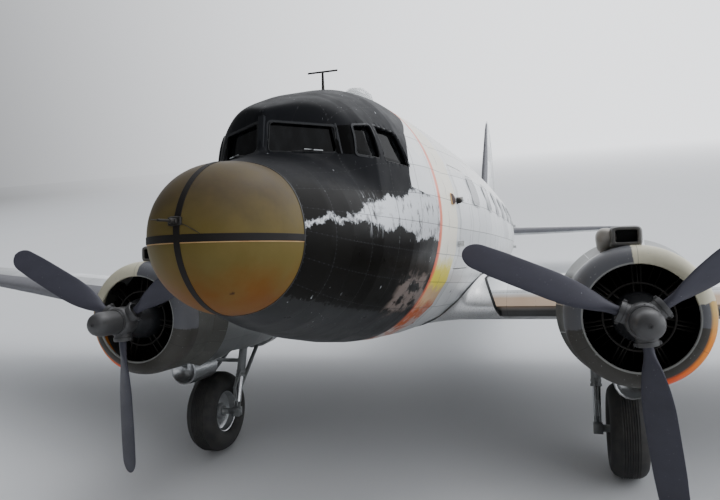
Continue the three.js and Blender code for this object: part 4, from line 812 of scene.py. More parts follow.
def finishes():
    """All the plane's finishes, made once."""
    if FINISHES:
        return FINISHES
    alloy = bpy.context.scene.plane_finish.alloy
    FINISHES.update({
        # Rolled aluminium sheet: bright and buckled, half hidden under worn black and white paint, with a
        # painted reflection in the band along the nose's side
        "skin": fuselage_finish(),
        # Lacquered glass fibre: warm, chalky and yellowed, with no metal shine
        "radome": radome_finish(),
        # Enamelled pressings: smooth satin colour, chipped to bright metal in spots
        "cowl": cowling_finish(),
        # Wing sheet: silver with each sheet its own tone, rivet rows, painted shade below and a painted tan
        # reflection along the leading edge
        "wing": alloy_finish("wing_sheet_aluminium", "x", "y", (0.72, 0.58), "9CA0A4", alloy),
        # Hand-beaten fairing sheet: paler and smoother than the riveted skin
        "fillet": plain_paint("fillet_aluminium", "E4E5E6", "A29D92", 0.3, 0.6, 90, 0.3),
        # Tail and fin sheets: as the wing's, but smaller, the fin's seams running up and aft
        "tail": alloy_finish("tail_sheet_aluminium", "x", "y", (0.5, 0.45), "A0A4A7", alloy),
        "fin": alloy_finish("fin_sheet_aluminium", "z", "y", (0.5, 0.45), "A0A4A7", alloy),
        # Nacelle sheet: duller, greyed by heat and oil
        "nacelle": alloy_finish("nacelle_sheet_aluminium", "y", "z", (0.62, 0.5), "86898B", "A8AAA9"),
        # Enamel on the intake ducts: grey with oily clouds
        "scoop": plain_paint("scoop_enamel", "6E6D6B", "4A4845", 0.4, 0.3),
        # Enamel on the filter housings: pale grey, soiled in patches
        "housing": plain_paint("filter_housing_enamel", "A5A19A", "5E5A54", 0.4, 0.2, 70, 0.6),
        # Lacquer on small fittings: near black with a soft gloss
        "black": plain_paint("black_lacquer", "1B1B1D", "3C3A38", 0.35),
        # Tape over the radome: almost black, matt, brown where it has worn
        "strip": plain_paint("dark_brown_tape", "0A0604", "1E1612", 0.62, amount=0.4, size=25),
        # Thin tape: pale, stained orange along its length
        "trim": plain_paint("pale_trim_tape", "C9A877", "A2683A", 0.5, amount=0.7, size=30),
        # Smoked steel of probe, pipes and pushrods: dark with a dull sheen
        "dark_metal": plain_paint("smoked_steel", "2F2E2D", "55504A", 0.5, 0.6),
        # Enamel on the crankcases: dark grey, satin, oily
        "engine_grey": plain_paint("crankcase_enamel", "2C2D30", "1B1A19", 0.4, 0.2),
        # Baked enamel on the cylinders' fins: black, so that the fins show as fine lines of light
        "cylinder": plain_paint("barrel_black_enamel", "1F1F20", "4A4540", 0.45, 0.3, 30),
        # Machined steel: mid grey with tight highlights
        "steel": plain_paint("machined_steel", "9A9B9C", "6E6A64", 0.28, 0.9, 30),
        # Chromed pistons: mirror bright
        "chrome": plain_paint("chromed_steel", "D6D8DA", "B0B2B4", 0.1, 1.0, 30, 0.1),
        # Heated steel: brown and rough, with sooty patches
        "exhaust": plain_paint("burnt_exhaust_steel", "6A5444", "3B2B22", 0.5, 0.8, 40, 0.8),
        # Enamel on the window frames: blue-black, chipped
        "frame": plain_paint("window_frame_enamel", "17191D", "2E3236", 0.45),
        # Brushed aluminium of rims and trims: silver with soft streaks
        "bare": plain_paint("brushed_aluminium", "B9BBBC", "8C8E90", 0.3, 0.9, 40),
        # Enamel on the hubs: mid grey with rubbed metal under it
        "hub": plain_paint("hub_grey_enamel", "5A5A5B", "3A3835", 0.42, 0.35, 40),
        # Forged blades in thin lacquer: lilac grey, clouded and nicked
        "blade": propeller_finish(),
        # Matt black on the blades' backs, against glare
        "blade_back": plain_paint("blade_back_black", "141416", "303032", 0.5),
        # Gear enamel: light grey, satin, with oily clouds
        "gear": plain_paint("gear_grey_enamel", "8A8D8E", "5C5B57", 0.45, 0.3),
        # Zinc chromate over the cockpit: dull green
        "interior": plain_paint("cockpit_green_enamel", "4C5A48", "2F3A2E", 0.6),
        # Crackle black of the instrument panel: no shine. Inside the intake throats the same black is painted
        # shade
        "panel": plain_paint("instrument_panel_black", "1A1B1C", "2E2F30", 0.55),
        # Varnished boards: worn brown
        "floor_boards": plain_paint("cabin_floor_board", "7D6A4C", "4E4231", 0.7),
        # Primer on ribs and bulkhead: pale dusty green
        "liner": plain_paint("cabin_liner_enamel", "7C8670", "59614F", 0.65),
        # Enamel on the pressed benches: green, rubbed to metal
        "bench": plain_paint("bench_green_enamel", "6A7358", "8E9488", 0.5, 0.2),
        # Tyre rubber: black, dulled by dust
        "tyre": rubber_finish("tyre_rubber", "1C1C1C", "4A4844"),
        # Pneumatic boots: grey, powdery rubber
        "boot": rubber_finish("deicer_boot_rubber", "76767B", "8C8C90"),
        # Glazing rubber: near black, matt
        "seal": rubber_finish("window_seal_rubber", "17181A", "2C2D2F"),
        # Plate glass, almost black with little shine: its black is painted shade of the dark cockpit behind
        # it
        "windscreen": glass_finish("windscreen_glass", "040405", 0.2, shine=0.05),
        # The bent corner panes, as dark but closed: an opaque black sheet painted as the cockpit's shade
        "corner_glass": glass_finish("corner_pane_glass", "030303", 0.0, 0.08, 0.03),
        # Side panes, scratched dull: dark with a faint gleam, their black painted shade of the cockpit behind
        # them
        "side_glass": glass_finish("side_window_glass", "030303", 0.1, shine=0.03),
        # One pane left clear: the cockpit shows through
        "clear_glass": glass_finish("clear_window_glass", "C8CCD0", 0.95),
        # Cabin acrylic: grey and half clear
        "window": glass_finish("cabin_window_acrylic", "6A7076", 0.5),
        # Blown acrylic: clear, slightly milky
        "dome": glass_finish("dome_acrylic", "E6E8E8", 0.85),
        # Lamp covers: white, red and green glass, half clear
        "lamp": glass_finish("lamp_glass", "E8E8E2", 0.7),
        "red_lamp": glass_finish("red_lamp_glass", "B01818", 0.6),
        "green_lamp": glass_finish("green_lamp_glass", "158045", 0.6),
        # Leathercloth on the seats: dark brown with soft creases
        "leather": cloth_finish("seat_leathercloth", "3B2A1E", "241A13"),
        # Cotton webbing: olive, its weave drawn 6 mm apart so that it shows
        "webbing": cloth_finish("seat_webbing", "6B6446", "4A4532", 6.0),
        # Chipped primer round the drain: cream gone orange
        "opening_rim": plain_paint("opening_rim_enamel", "E8C48A", "D06A2A", 0.45, amount=0.8, size=20),
        # Inside it: deep brown, painted shade standing in for the opening's depth
        "opening": plain_paint("opening_painted_shade", "3A1A0C", "1E0E08", 0.6),
        # Radium ivory of pointers and marks: pale, matt
        "dial": plain_paint("dial_ivory", "D8D4C0", "A8A490", 0.5),
    })
    return FINISHES


# Wings, tail and flat outlines
WING = {"leading": 5080, "chord": 4318, "height": -110, "centre": 4000, "thickness": 0.15, "camber": 0.02,
        "peak": 0.2, "sweep": math.tan(math.radians(15.5)), "trail": 0.0145, "tip": 9700}
PANEL_SPAN = (29110 / 2 - WING["centre"]) / math.cos(DIHEDRAL)
STABILISER = np.array([[150, 15860, 18560, 0.1], [3000, 16660, 18500, 0.095], [3700, 16930, 18330, 0.09],
    [3950, 17130, 18120, 0.085], [4065, 17400, 17800, 0.08]])
FIN = np.array([[1060, 15500, 18400, 0.075], [1500, 15500, 19120, 0.07], [2000, 14950, 19540, 0.06],
    [2300, 15620, 19650, 0.07], [2650, 15980, 19660, 0.08], [3350, 16450, 19480, 0.085],
    [4560, 17230, 18560, 0.085], [4800, 17440, 18240, 0.08], [4900, 17620, 18010, 0.07]])


def airfoil(leading, chord, thickness, share, upper, camber=0.0, grow=0.0):
    """A four-digit section as (aft, up): half-thickness from a root and powers, camber from two parabolas."""
    share = np.asarray(share, float)
    half = 5 * thickness * chord * (0.2969 * np.sqrt(share) - 0.126 * share - 0.3516 * share ** 2 + 0.2843
        * share ** 3 - 0.1015 * share ** 4)
    p = WING["peak"]
    front = camber / p ** 2 * (2 * p * share - share ** 2)
    rear = camber / (1 - p) ** 2 * (1 - 2 * p + 2 * p * share - share ** 2)
    mean = np.where(share < p, front, rear) * chord - (INCIDENCE * share * chord if camber else 0)
    half = half + grow
    return leading - grow * np.exp(-share * 60) + share * chord, mean + np.where(upper, half, -half)


def panel_row(x):
    """The outer wing's leading edge, chord and thickness share at a distance out, rounded in at the tip."""
    leading = WING["leading"] + x * WING["sweep"]
    trailing = WING["leading"] + WING["chord"] - x * WING["trail"]
    thickness = WING["thickness"] - 0.085 * np.maximum(0, x) / PANEL_SPAN
    past = np.maximum(0, (x - WING["tip"]) / (PANEL_SPAN - WING["tip"]))
    chord = (trailing - leading) * np.sqrt(np.maximum(0, 1 - past ** 2.2))
    return leading + 0.55 * (trailing - leading - chord), chord, thickness


def raised(points, side=1):
    """Points of the outer panel's own frame turned up by the dihedral and set at the centre wing's end."""
    x, y, z = np.moveaxis(np.asarray(points, float), -1, 0)
    out = WING["centre"] + x * math.cos(DIHEDRAL) - z * math.sin(DIHEDRAL)
    return np.stack([side * out, y, WING["height"] + x * math.sin(DIHEDRAL) + z * math.cos(DIHEDRAL)], -1)


def edge_wrap(rows, reach, lift, camber, columns=15):
    """A sleeve round a leading edge: over each row's section from reach of its chord above to reach below."""
    turn = np.linspace(-1, 1, columns)
    out = []
    for grow in (lift, -2.0):
        share = reach * turn ** 2
        section = [airfoil(lead, chord, thick, share, turn < 0, camber, grow) for lead, chord, thick in rows]
        out.append(np.array(section))
    rings = np.concatenate([out[0], out[1][:, :, ::-1]], 2)
    return np.moveaxis(rings, 1, 2)


def outline(corners, radius, count=96):
    """A closed outline with rounded corners, its points evenly spaced: each corner is a quadratic arc."""
    corners = np.asarray(corners, float)
    before, after = np.roll(corners, 1, 0) - corners, np.roll(corners, -1, 0) - corners
    start, end = corners + unit(before) * radius, corners + unit(after) * radius
    t = np.linspace(0, 1, 8)[None, :, None]
    arcs = (1 - t) ** 2 * start[:, None] + 2 * t * (1 - t) * corners[:, None] + t ** 2 * end[:, None]
    points = arcs.reshape(-1, 2)
    points = np.concatenate([points, points[:1]])
    length = np.concatenate([[0], np.cumsum(np.linalg.norm(np.diff(points, axis=0), axis=1))])
    at = np.linspace(0, length[-1], count, endpoint=False)
    return np.stack([np.interp(at, length, points[:, k]) for k in (0, 1)], 1)


def plate(flat, place, lift, sink=5.0, steps=(1.0, 0.8, 0.6, 0.4, 0.2)):
    """A thin pane: the outline shrunk in steps towards its middle, on a surface, over a foot below it."""
    middle = flat.mean(0)
    rings = [place(flat, -sink)] + [place(middle + (flat - middle) * s, lift) for s in steps]
    return skin(rings)


# Settings and steps
def colour_setting(name, text, description):
    """A colour that a user can change, its default given as sRGB hex."""
    return bpy.props.FloatVectorProperty(name=name, description=description, subtype="COLOR", size=3,
        min=0.0, max=1.0, default=linear(text)[:3])


def length_setting(name, millimetres, description):
    """A length that a user can change, its default given in millimetres."""
    return bpy.props.FloatProperty(name=name, description=description, subtype="DISTANCE", unit="LENGTH",
        min=0.0, default=millimetres * MM)


class PlaneFinish(bpy.types.PropertyGroup):
    """Colours of the main finishes."""
    nose_side: colour_setting("Nose sides", "0A0907", "Gloss black on the nose's sides")
    nose_top: colour_setting("Nose top", "0D0F14", "Blue-grey paint ahead of and over the cockpit")
    nose_belly: colour_setting("Nose belly", "2B2C2D", "Grey under the nose")
    alloy: colour_setting("Bare alloy", "E8EAEB", "Bare aluminium sheet")
    roof_white: colour_setting("Roof white", "F0F0EE", "White lacquer on the cabin's roof")
    radome_top: colour_setting("Radome, upper", "4A3F2D", "Aged cream lacquer in the light")
    radome: colour_setting("Radome", "615428", "Yellowed lacquer on the radome's middle")
    radome_low: colour_setting("Radome, lower", "6E3E00", "Ochre stain at the radome's foot")
    blade: colour_setting("Blades", "4B4B55", "Grey lacquer on the blades' faces")


class PlaneSizes(bpy.types.PropertyGroup):
    """Sizes of the fine pieces."""
    strip_width: length_setting("Radome strip width", 44, "Width of the dark strips over the radome")
    trim_line: length_setting("Radome line width", 6, "Width of the thin line under the level strip")
    frame_width: length_setting("Window frame width", 15, "Width of the frames round the glazing")
    window_length: length_setting("Cabin window length", 380, "Length of each cabin window")
    window_height: length_setting("Cabin window height", 330, "Height of each cabin window")
    wall: length_setting("Sheet thickness", 6, "Thickness of the cowlings' flaps and other sheet pieces")
    boot_reach: bpy.props.FloatProperty(name="De-icer reach",
        description="Share of the chord that the rubber boots cover", subtype="FACTOR", min=0.01, max=0.2,
        default=0.06)


class PlaneStep:
    """What every step of dressing the plane has in common."""
    bl_options = {"REGISTER", "UNDO"}

    def execute(self, context):
        """Builds the step's pieces with the finishes and the sizes as they are set."""
        self.build(context.scene.plane_sizes)
        return {"FINISHED"}


class PLANE_OT_camera(bpy.types.Operator):
    """Sets up the camera where the photograph was taken from"""
    bl_idname = "plane.camera"
    bl_label = "Camera"

    def execute(self, context):
        """Its axes are right, up and back: the heading turned by yaw, tipped by pitch and leant by roll."""
        # Fitted to the photograph: angles in radians, place in level millimetres, focal length in its pixels
        yaw, pitch, roll = 0.303209571, 0.0166732454, -0.0303392654
        place, focal_pixels = (2114.65, -3250.34, 525.54), 638.993
        photo_width, sensor_width = 720, 36
        ahead = np.array([-math.sin(yaw) * math.cos(pitch), math.cos(yaw) * math.cos(pitch), math.sin(pitch)])
        flat_right = np.array([math.cos(yaw), math.sin(yaw), 0])
        flat_up = np.cross(flat_right, ahead)
        right = math.cos(roll) * flat_right + math.sin(roll) * flat_up
        up = -math.sin(roll) * flat_right + math.cos(roll) * flat_up
        matrix = np.eye(4)
        matrix[:3, :3] = TURN @ np.stack([right, up, -ahead], 1)
        matrix[:3, 3] = parked(place)
        data = bpy.data.cameras.new("photo_camera")
        data.sensor_width = sensor_width
        data.sensor_fit = "HORIZONTAL"
        data.lens = focal_pixels / photo_width * sensor_width
        data.clip_end = 300
        camera = bpy.data.objects.new("photo_camera", data)
        context.scene.collection.objects.link(camera)
        camera.matrix_world = Matrix(matrix.tolist())
        context.scene.camera = camera
        return {"FINISHED"}


class PLANE_OT_radome(PlaneStep, bpy.types.Operator):
    """Makes the radome with its dark strips, thin line, nose probe and ring of fasteners"""
    bl_idname = "plane.radome"
    bl_label = "Radome"

    @staticmethod
    def radius(y):
        """520 mm at the joint, closing towards the tip as (1 - t^2.1)^0.53, t running from joint to tip."""
        t = np.clip((640 - np.asarray(y, float)) / 640, 0, 1)
        return 520 * np.clip(1 - t ** 2.1, 0, None) ** 0.53

    def around(self, offset, steps=121):
        """A path over the radome at a constant height off its middle, from port to starboard."""
        s = np.linspace(1, -1, steps)
        y = 2 + 634 * np.abs(s) ** 2.4
        across = np.sign(s) * np.sqrt(np.clip(self.radius(y) ** 2 - offset ** 2, 0, None))
        path = np.stack([across, y, np.full(steps, 700.0 + offset)], 1)
        tangent = np.gradient(path, axis=0)
        facing = unit(np.stack([-tangent[:, 1], tangent[:, 0], 0 * across], 1))
        return path, facing * np.sign((facing * (path - [0, 640, 700])).sum(1).mean())

    def build(self, sizes):
        """The radome is rings whose radius falls towards the tip; its strips are bands carried along the
        curves where level and upright planes cut it."""
        y = 640 - 636.5 * np.linspace(0.001, 1, 44) ** 0.8
        angle = np.linspace(0, 2 * math.pi, 96, endpoint=False)
        n = 2 + 0.3 * y[:, None] / 640
        n = np.where(np.cos(angle) > 0, n, 2.0)
        across, up = squared_off(np.sin(angle), n), squared_off(np.cos(angle), n)
        r = self.radius(y)[:, None]
        rings = np.stack([r * across, np.broadcast_to(y[:, None], across.shape), 700 + r * up], -1)
        make("radome_shell", skin(rings), "radome", ["radome"])
        width = sizes.strip_width / MM
        level_path, level_facing = self.around(-12)
        upright, upright_facing = self.around(0)
        swap = [2, 1, 0]
        upright = upright[:, swap] - [700, 0, -700]
        upright_facing = upright_facing[:, swap]
        # The upright strip bulges a little to starboard half way up
        upright[:, 0] = -28 * (1 - ((upright[:, 2] - 700) / 640) ** 2)
        strips = [ribbon(upright, upright_facing, width - 2, 3.0),
            ribbon(level_path, level_facing, width + 2, 3.6)]
        make("radome_strips", combine(strips), "strip")
        thin, thin_facing = self.around(-39)
        make("radome_line", ribbon(thin, thin_facing, sizes.trim_line / MM, 1.6), "trim")
        bracket = [block((-34, -2, 768), (34, 16, 812), 5), block((-20, -16, 778), (20, 4, 802), 4)]
        bracket += [turned([(0, -40), (9, -38), (13, -26), (13, -8), (0, -8)], 20, (0, 0, 790), closed=False)]
        probe = tube([(0, -10, 790), (0, -80, 790), (0, -120, 789)], 5.5, 12)
        needle = tube([(0, -110, 789), (0, -170, 788)], 2.0, 8)
        whole = moved(moved(combine(bracket + [probe, needle]), (0, 0, -790)), (-40, 0, 790), scale=1.35)
        make("radome_probe", whole, "dark_metal")
        t = np.linspace(0, 1, 16)[:, None]
        wire = (1 - t) * [0, 0, 778] + t * [118, 20, 712] + np.sin(t * math.pi) * [0, -8, 6]
        make("radome_wire", tube(wire, 2.2, 8), "dark_metal")
        angle = np.linspace(0, 2 * math.pi, 56, endpoint=False)
        ring = hull_point(HOOD, 656.0, angle, 0.5)
        make("radome_fasteners", studs(ring, outward(hood_value, ring), 6, 3, 8), "frame")
        angle = np.linspace(0, 2 * math.pi, 160, endpoint=False)
        ring = hull_point(HOOD, 643.0, angle, 0.5)
        make("radome_joint_ring", ribbon(ring, outward(hood_value, ring), 14, 3, True),
             "black")


# The windscreen's port half lies on a plane through three points: foot, corner and head
WINDSCREEN = np.array([[0, 1085, 1340], [510, 1445, 1366], [0, 1125, 1640]], float)
SCREEN_FACING = unit(np.cross(WINDSCREEN[1] - WINDSCREEN[0], WINDSCREEN[2] - WINDSCREEN[0]))


class PLANE_OT_nose(PlaneStep, bpy.types.Operator):
    """Makes the nose and cockpit shell, the windscreen's and side windows' frames, the wipers and the mast"""
    bl_idname = "plane.nose"
    bl_label = "Nose and cockpit shell"

    FRONT_PANE = [[42, 1366], [490, 1370], [474, 1582], [46, 1602]]
    SIDE_PANES = ([[1534, 1362], [1778, 1350], [1795, 1645], [1560, 1606]],
        [[1838, 1347], [2300, 1340], [2190, 1640], [1850, 1655]])

    @staticmethod
    def on_windscreen(flat, lift):
        """Points across and up on the slanting plane through the windscreen's foot, corner and head."""
        x, z = flat[:, 0], flat[:, 1]
        foot, facing = WINDSCREEN[0], SCREEN_FACING
        y = foot[1] - (facing[0] * (x - foot[0]) + facing[2] * (z - foot[2])) / facing[1]
        return np.stack([x, y, z], 1) + facing * lift

    @staticmethod
    def on_roof_side(flat, lift):
        """Points aft and up on the cockpit roof's port side."""
        y, z = flat[:, 0], flat[:, 1]
        points = np.stack([side_of_roof(y, z), y, z], 1)
        return points + outward(roof_value, points) * lift

    @staticmethod
    def body_distance(points):
        """Hood and roof joined by a rounded hollow, the roof cut by the windscreen with a rounded edge: each
        is half of the sum, less (more for the cut) the root of squared difference plus squared width."""
        x, y, z = points.T
        hood = hull_value(HOOD, points) * 800
        half, top, spring, n = stations(ROOF, y)
        reach = np.where(z > spring, top - spring, 460)
        roof = (((np.abs(x) / half) ** n + (np.abs(z - spring) / reach) ** n) ** (1 / n) - 1) * 700
        screen = (np.stack([np.abs(x), y, z], 1) - WINDSCREEN[0]) @ SCREEN_FACING
        cut = 0.5 * (roof + screen + np.sqrt((roof - screen) ** 2 + 46 ** 2))
        hollow = 80 * np.clip((3260 - y) / 900, 0, 1) + 1e-3
        return 0.5 * (hood + cut - np.sqrt((hood - cut) ** 2 + hollow ** 2))

    @staticmethod
    def within(flat, places):
        """Which flat places lie inside a convex outline: on the same side of all its edges."""
        edge = np.roll(flat, -1, 0) - flat
        reach = places[:, None] - flat[None]
        turn = edge[None, :, 0] * reach[..., 1] - edge[None, :, 1] * reach[..., 0]
        return (turn > 0).all(1) | (turn < 0).all(1)

    def shell(self):
        """Rays from the middle line of each ring, out to where the body's distance is nothing, by halving.
        Faces within a pane's outline are left out, and points round the hole are drawn onto the outline."""
        y = np.concatenate([np.linspace(640.3, 1054, 24), np.arange(1060, 1240, 6.0),
            np.arange(1246, 2330, 12.0), np.linspace(2340, 3299.7, 40)])
        angle = np.radians(np.concatenate([np.arange(-75, 75.1, 1.1), np.linspace(79, 281, 52)]))
        rows, turns = np.meshgrid(y, angle, indexing="ij")
        low, high = np.full(rows.shape, 60.0), np.full(rows.shape, 1700.0)
        for _ in range(24):
            middle = (low + high) / 2
            points = np.stack([middle * np.sin(turns), rows, 750 + middle * np.cos(turns)], -1)
            out = self.body_distance(points.reshape(-1, 3)).reshape(rows.shape) > 0
            low, high = np.where(out, low, middle), np.where(out, middle, high)
        points = points.reshape(-1, 3)
        faces = np.array(grid_faces(*rows.shape))
        for corners, axes, forward in ((self.FRONT_PANE, (0, 2), True),
                *((p, (1, 2), False) for p in self.SIDE_PANES)):
            flat = outline(corners, 30)
            centres = points[faces].mean(1)
            ahead = ((np.abs(centres[:, 0]) < 500) & (centres[:, 1] < 1480) if forward
                else centres[:, 1] > 1490)
            inside = self.within(flat, np.abs(centres[:, axes])) & ahead & (centres[:, 2] > 1300)
            rim = np.intersect1d(np.unique(faces[inside]), np.unique(faces[~inside]))
            places = np.abs(points[rim][:, axes])
            nearest = flat[np.argmin(((places[:, None] - flat[None]) ** 2).sum(-1), 1)]
            signs = np.sign(points[rim][:, 0])
            if forward:
                points[rim] = (self.on_windscreen(nearest, 0.0)
                    * np.stack([signs, 0 * signs + 1, 0 * signs + 1], 1))
            else:
                points[np.ix_(rim, axes)] = nearest
            faces = faces[~inside]
        return points, faces.tolist()

    def over_shell(self, y, z):
        """Points of the port side at stations and heights: where the body's value is nothing, by halving."""
        y, z = np.broadcast_arrays(np.asarray(y, float), np.asarray(z, float))
        low, high = np.full(y.shape, 60.0), np.full(y.shape, 1500.0)
        for _ in range(24):
            middle = (low + high) / 2
            out = self.body_distance(np.stack([middle, y, z], -1).reshape(-1, 3)).reshape(y.shape) > 0
            low, high = np.where(out, low, middle), np.where(out, middle, high)
        return np.stack([low, y, z], -1)

    def shell_slope(self, points):
        """The body's outward direction at points on it, from differences 4 mm either way."""
        steps = np.eye(3) * 4
        slope = [self.body_distance(points + step) - self.body_distance(points - step) for step in steps]
        return unit(np.stack(slope, -1))

    def corner_pane(self):
        """The dark pane that bends round the windscreen's corner: a grid of stations and heights, 2.5 mm out,
        over an edge that goes 4 mm in."""
        rows, columns = np.linspace(0, 1, 24)[:, None], np.linspace(0, 1, 16)[None, :]
        z = 1364 + columns * (1582 + 22 * rows - 1364)
        y = 1424 + rows * 122 + (z - 1364) * 0.02
        top = self.over_shell(y, z)
        facing = self.shell_slope(top.reshape(-1, 3)).reshape(top.shape)
        rim = np.concatenate([top[0], top[1:-1, -1], top[-1, ::-1], top[-2:0:-1, 0]])
        around = np.concatenate([facing[0], facing[1:-1, -1], facing[-1, ::-1], facing[-2:0:-1, 0]])
        upper = ((top + facing * 2.5).reshape(-1, 3), grid_faces(24, 16, False))
        edge = skin([rim + around * 2.5, rim - around * 4], (False, True))
        return combine([upper, edge])

    def build(self, sizes):
        """The shell comes from rays out to the body's surface; frames, seals and posts are bands carried
        along the panes' outlines on it, and wipers are round bars."""
        points, faces = self.shell()
        piece = make("nose_shell", (points, faces), "skin", ["nose_section"], angle=50)
        thicken(piece, 30)
        panes = {"windscreen_left": "windscreen", "side_window_left": "side_glass",
            "windscreen_right": "windscreen", "side_window_right": "clear_glass"}
        for node, key in panes.items():
            frame["nodes"][node].data.materials.clear()
            frame["nodes"][node].data.materials.append(finishes()[key])
        width = sizes.frame_width / MM
        frames, seals = [], []
        for corners, place in ((self.FRONT_PANE, self.on_windscreen),
                *((p, self.on_roof_side) for p in self.SIDE_PANES)):
            flat = outline(corners, 30)
            middle = flat.mean(0)
            for inset, wide, high, forms in ((-width * 0.3, width, 2.0, frames), (3.0, 7.0, 3.0, seals)):
                grown = middle + (flat - middle) * (1 - inset / np.abs(flat - middle).max(0).min())
                path = place(grown, 0.0)
                facing = unit(place(grown, 10.0) - path)
                forms.append(ribbon(path, facing, wide, high, True, 12.0))
        flat = np.stack([np.full(12, 0.0), np.linspace(1350, 1640, 12)], 1)
        post = self.on_windscreen(flat, 0.0)
        for mirror, suffix in ((False, "_left"), (True, "_right")):
            for name, forms, key in (("frames", frames, "frame"), ("seals", seals, "seal")):
                make("window_" + name + suffix, moved(combine(forms), mirror=mirror), key)
        make("windscreen_post", ribbon(post, np.tile([[0.0, -1, 0.1]], (12, 1)), 50, 8, sink=30), "frame")
        for mirror, suffix in ((False, "_left"), (True, "_right")):
            blade = self.on_windscreen(np.array([[270.0, 1388], [330, 1384], [392, 1381]]), 14)
            arm = self.on_windscreen(np.array([[150.0, 1356], [240, 1372], [330, 1384]]), 22)
            boss = turned([(0, -16), (9, -15), (12, 0), (12, 12), (0, 12)], 16,
                self.on_windscreen(np.array([[150.0, 1352]]), 6)[0], closed=False)
            make("wiper_blade" + suffix, moved(tube(blade, 5, 8), mirror=mirror), "bare")
            make("wiper_arm" + suffix, moved(combine([tube(arm, 4, 8), boss]), mirror=mirror), "black")
        for mirror, suffix in ((False, "_left"), (True, "_right")):
            make("corner_pane" + suffix, moved(self.corner_pane(), mirror=mirror), "corner_glass")
            post = self.over_shell(np.linspace(1449, 1456, 9)[:, None],
                np.linspace(1362, 1606, 9)[:, None])[:, 0]
            facing = self.shell_slope(post)
            make("corner_post" + suffix, moved(ribbon(post, facing, 16, 5), mirror=mirror), "frame")
        refined("antenna_mast", "dark_metal")


class PLANE_OT_cabin(PlaneStep, bpy.types.Operator):
    """Makes the cabin's and tail's skins, windows, doors and the opening and stub behind the cockpit"""
    bl_idname = "plane.cabin"
    bl_label = "Cabin, doors and windows"

    def build(self, sizes):
        """Each window is a rounded outline laid on the cabin's side: a band along it, a pane within it
        and rivet heads round it. The stub is a turned profile."""
        for node in ("cabin_front", "cabin_rear", "tail_cone", "crew_door", "cargo_door_front",
                "cargo_door_rear"):
            refined(node, "skin", barrel_value)
        refined("astrodome", "dome")
        half_long, half_high = sizes.window_length / MM / 2, sizes.window_height / MM / 2
        at_sides = [(y, "airframe", 1) for y in (4700, 5750, 6800, 7850, 8900, 9950, 11000)]
        at_sides += [(y, "airframe", -1) for y in (4700, 5750, 6800, 7850, 8900, 9950, 11000, 12100, 13200)]
        at_sides += [(12450, "cargo_door_front", 1), (13450, "cargo_door_rear", 1)]

        def on_side(flat, lift):
            """Points aft and up laid on the cabin's port side."""
            points = np.stack([side_of_barrel(flat[:, 0], flat[:, 1]), flat[:, 0], flat[:, 1]], 1)
            return points + outward(barrel_value, points) * lift

        groups = {}
        for y, body, side in at_sides:
            corners = [(y - half_long, 1330 - half_high), (y + half_long, 1330 - half_high),
                (y + half_long, 1330 + half_high), (y - half_long, 1330 + half_high)]
            flat = outline(corners, 95, 64)
            path = on_side(flat, 0.0)
            facing = unit(on_side(flat, 10.0) - path)
            rim = ribbon(path, facing, sizes.frame_width / MM * 0.8, 5, True, 6)
            pane = plate(flat, on_side, 3.0)
            head = outline(np.array(corners) + [[-26, -26], [26, -26], [26, 26], [-26, 26]], 110, 44)
            bolts = studs(on_side(head, 0), unit(on_side(head, 10) - on_side(head, 0)), 5, 3)
            key = (body, side)
            groups.setdefault(key, ([], [], []))
            for forms, form in zip(groups[key], (rim, pane, bolts)):
                forms.append(moved(form, mirror=side < 0))
        for (body, side), (rims, panes, bolts) in groups.items():
            suffix = "_" + ("left" if side > 0 else "right") if body == "airframe" else "_" + body
            make("cabin_window_frames" + suffix, combine(rims), "bare", body=body)
            make("cabin_window_panes" + suffix, combine(panes), "window", body=body)
            make("cabin_window_rivets" + suffix, combine(bolts), "bare", body=body)
        hole = outline([(3478, 1092), (3560, 1098), (3616, 1130), (3616, 1175), (3560, 1205), (3478, 1211)],
            16, 48)
        path = on_side(hole, 0.0)
        rim = ribbon(path, unit(on_side(hole, 10.0) - path), 9, 6, True, 4)
        make("drain_opening_rim", rim, "opening_rim")
        # The opening is a plate within the rim, coloured deep brown: painted shade of the hole
        make("drain_opening_plate", plate(hole, on_side, 6.5), "opening")
        foot = on_side(np.array([[3725.0, 1145]]), 0.0)[0]
        a = np.linspace(0, math.pi, 14)
        ball = np.stack([28 * np.sin(a), 18 - 28 * np.cos(a)], 1)
        stub = combine([turned(ball, 24, foot, "x", False),
            turned([(0, -8), (34, -8), (34, 3), (28, 6), (0, 6)], 24, foot, "x", False)])
        make("drain_stub", stub, "dark_metal")


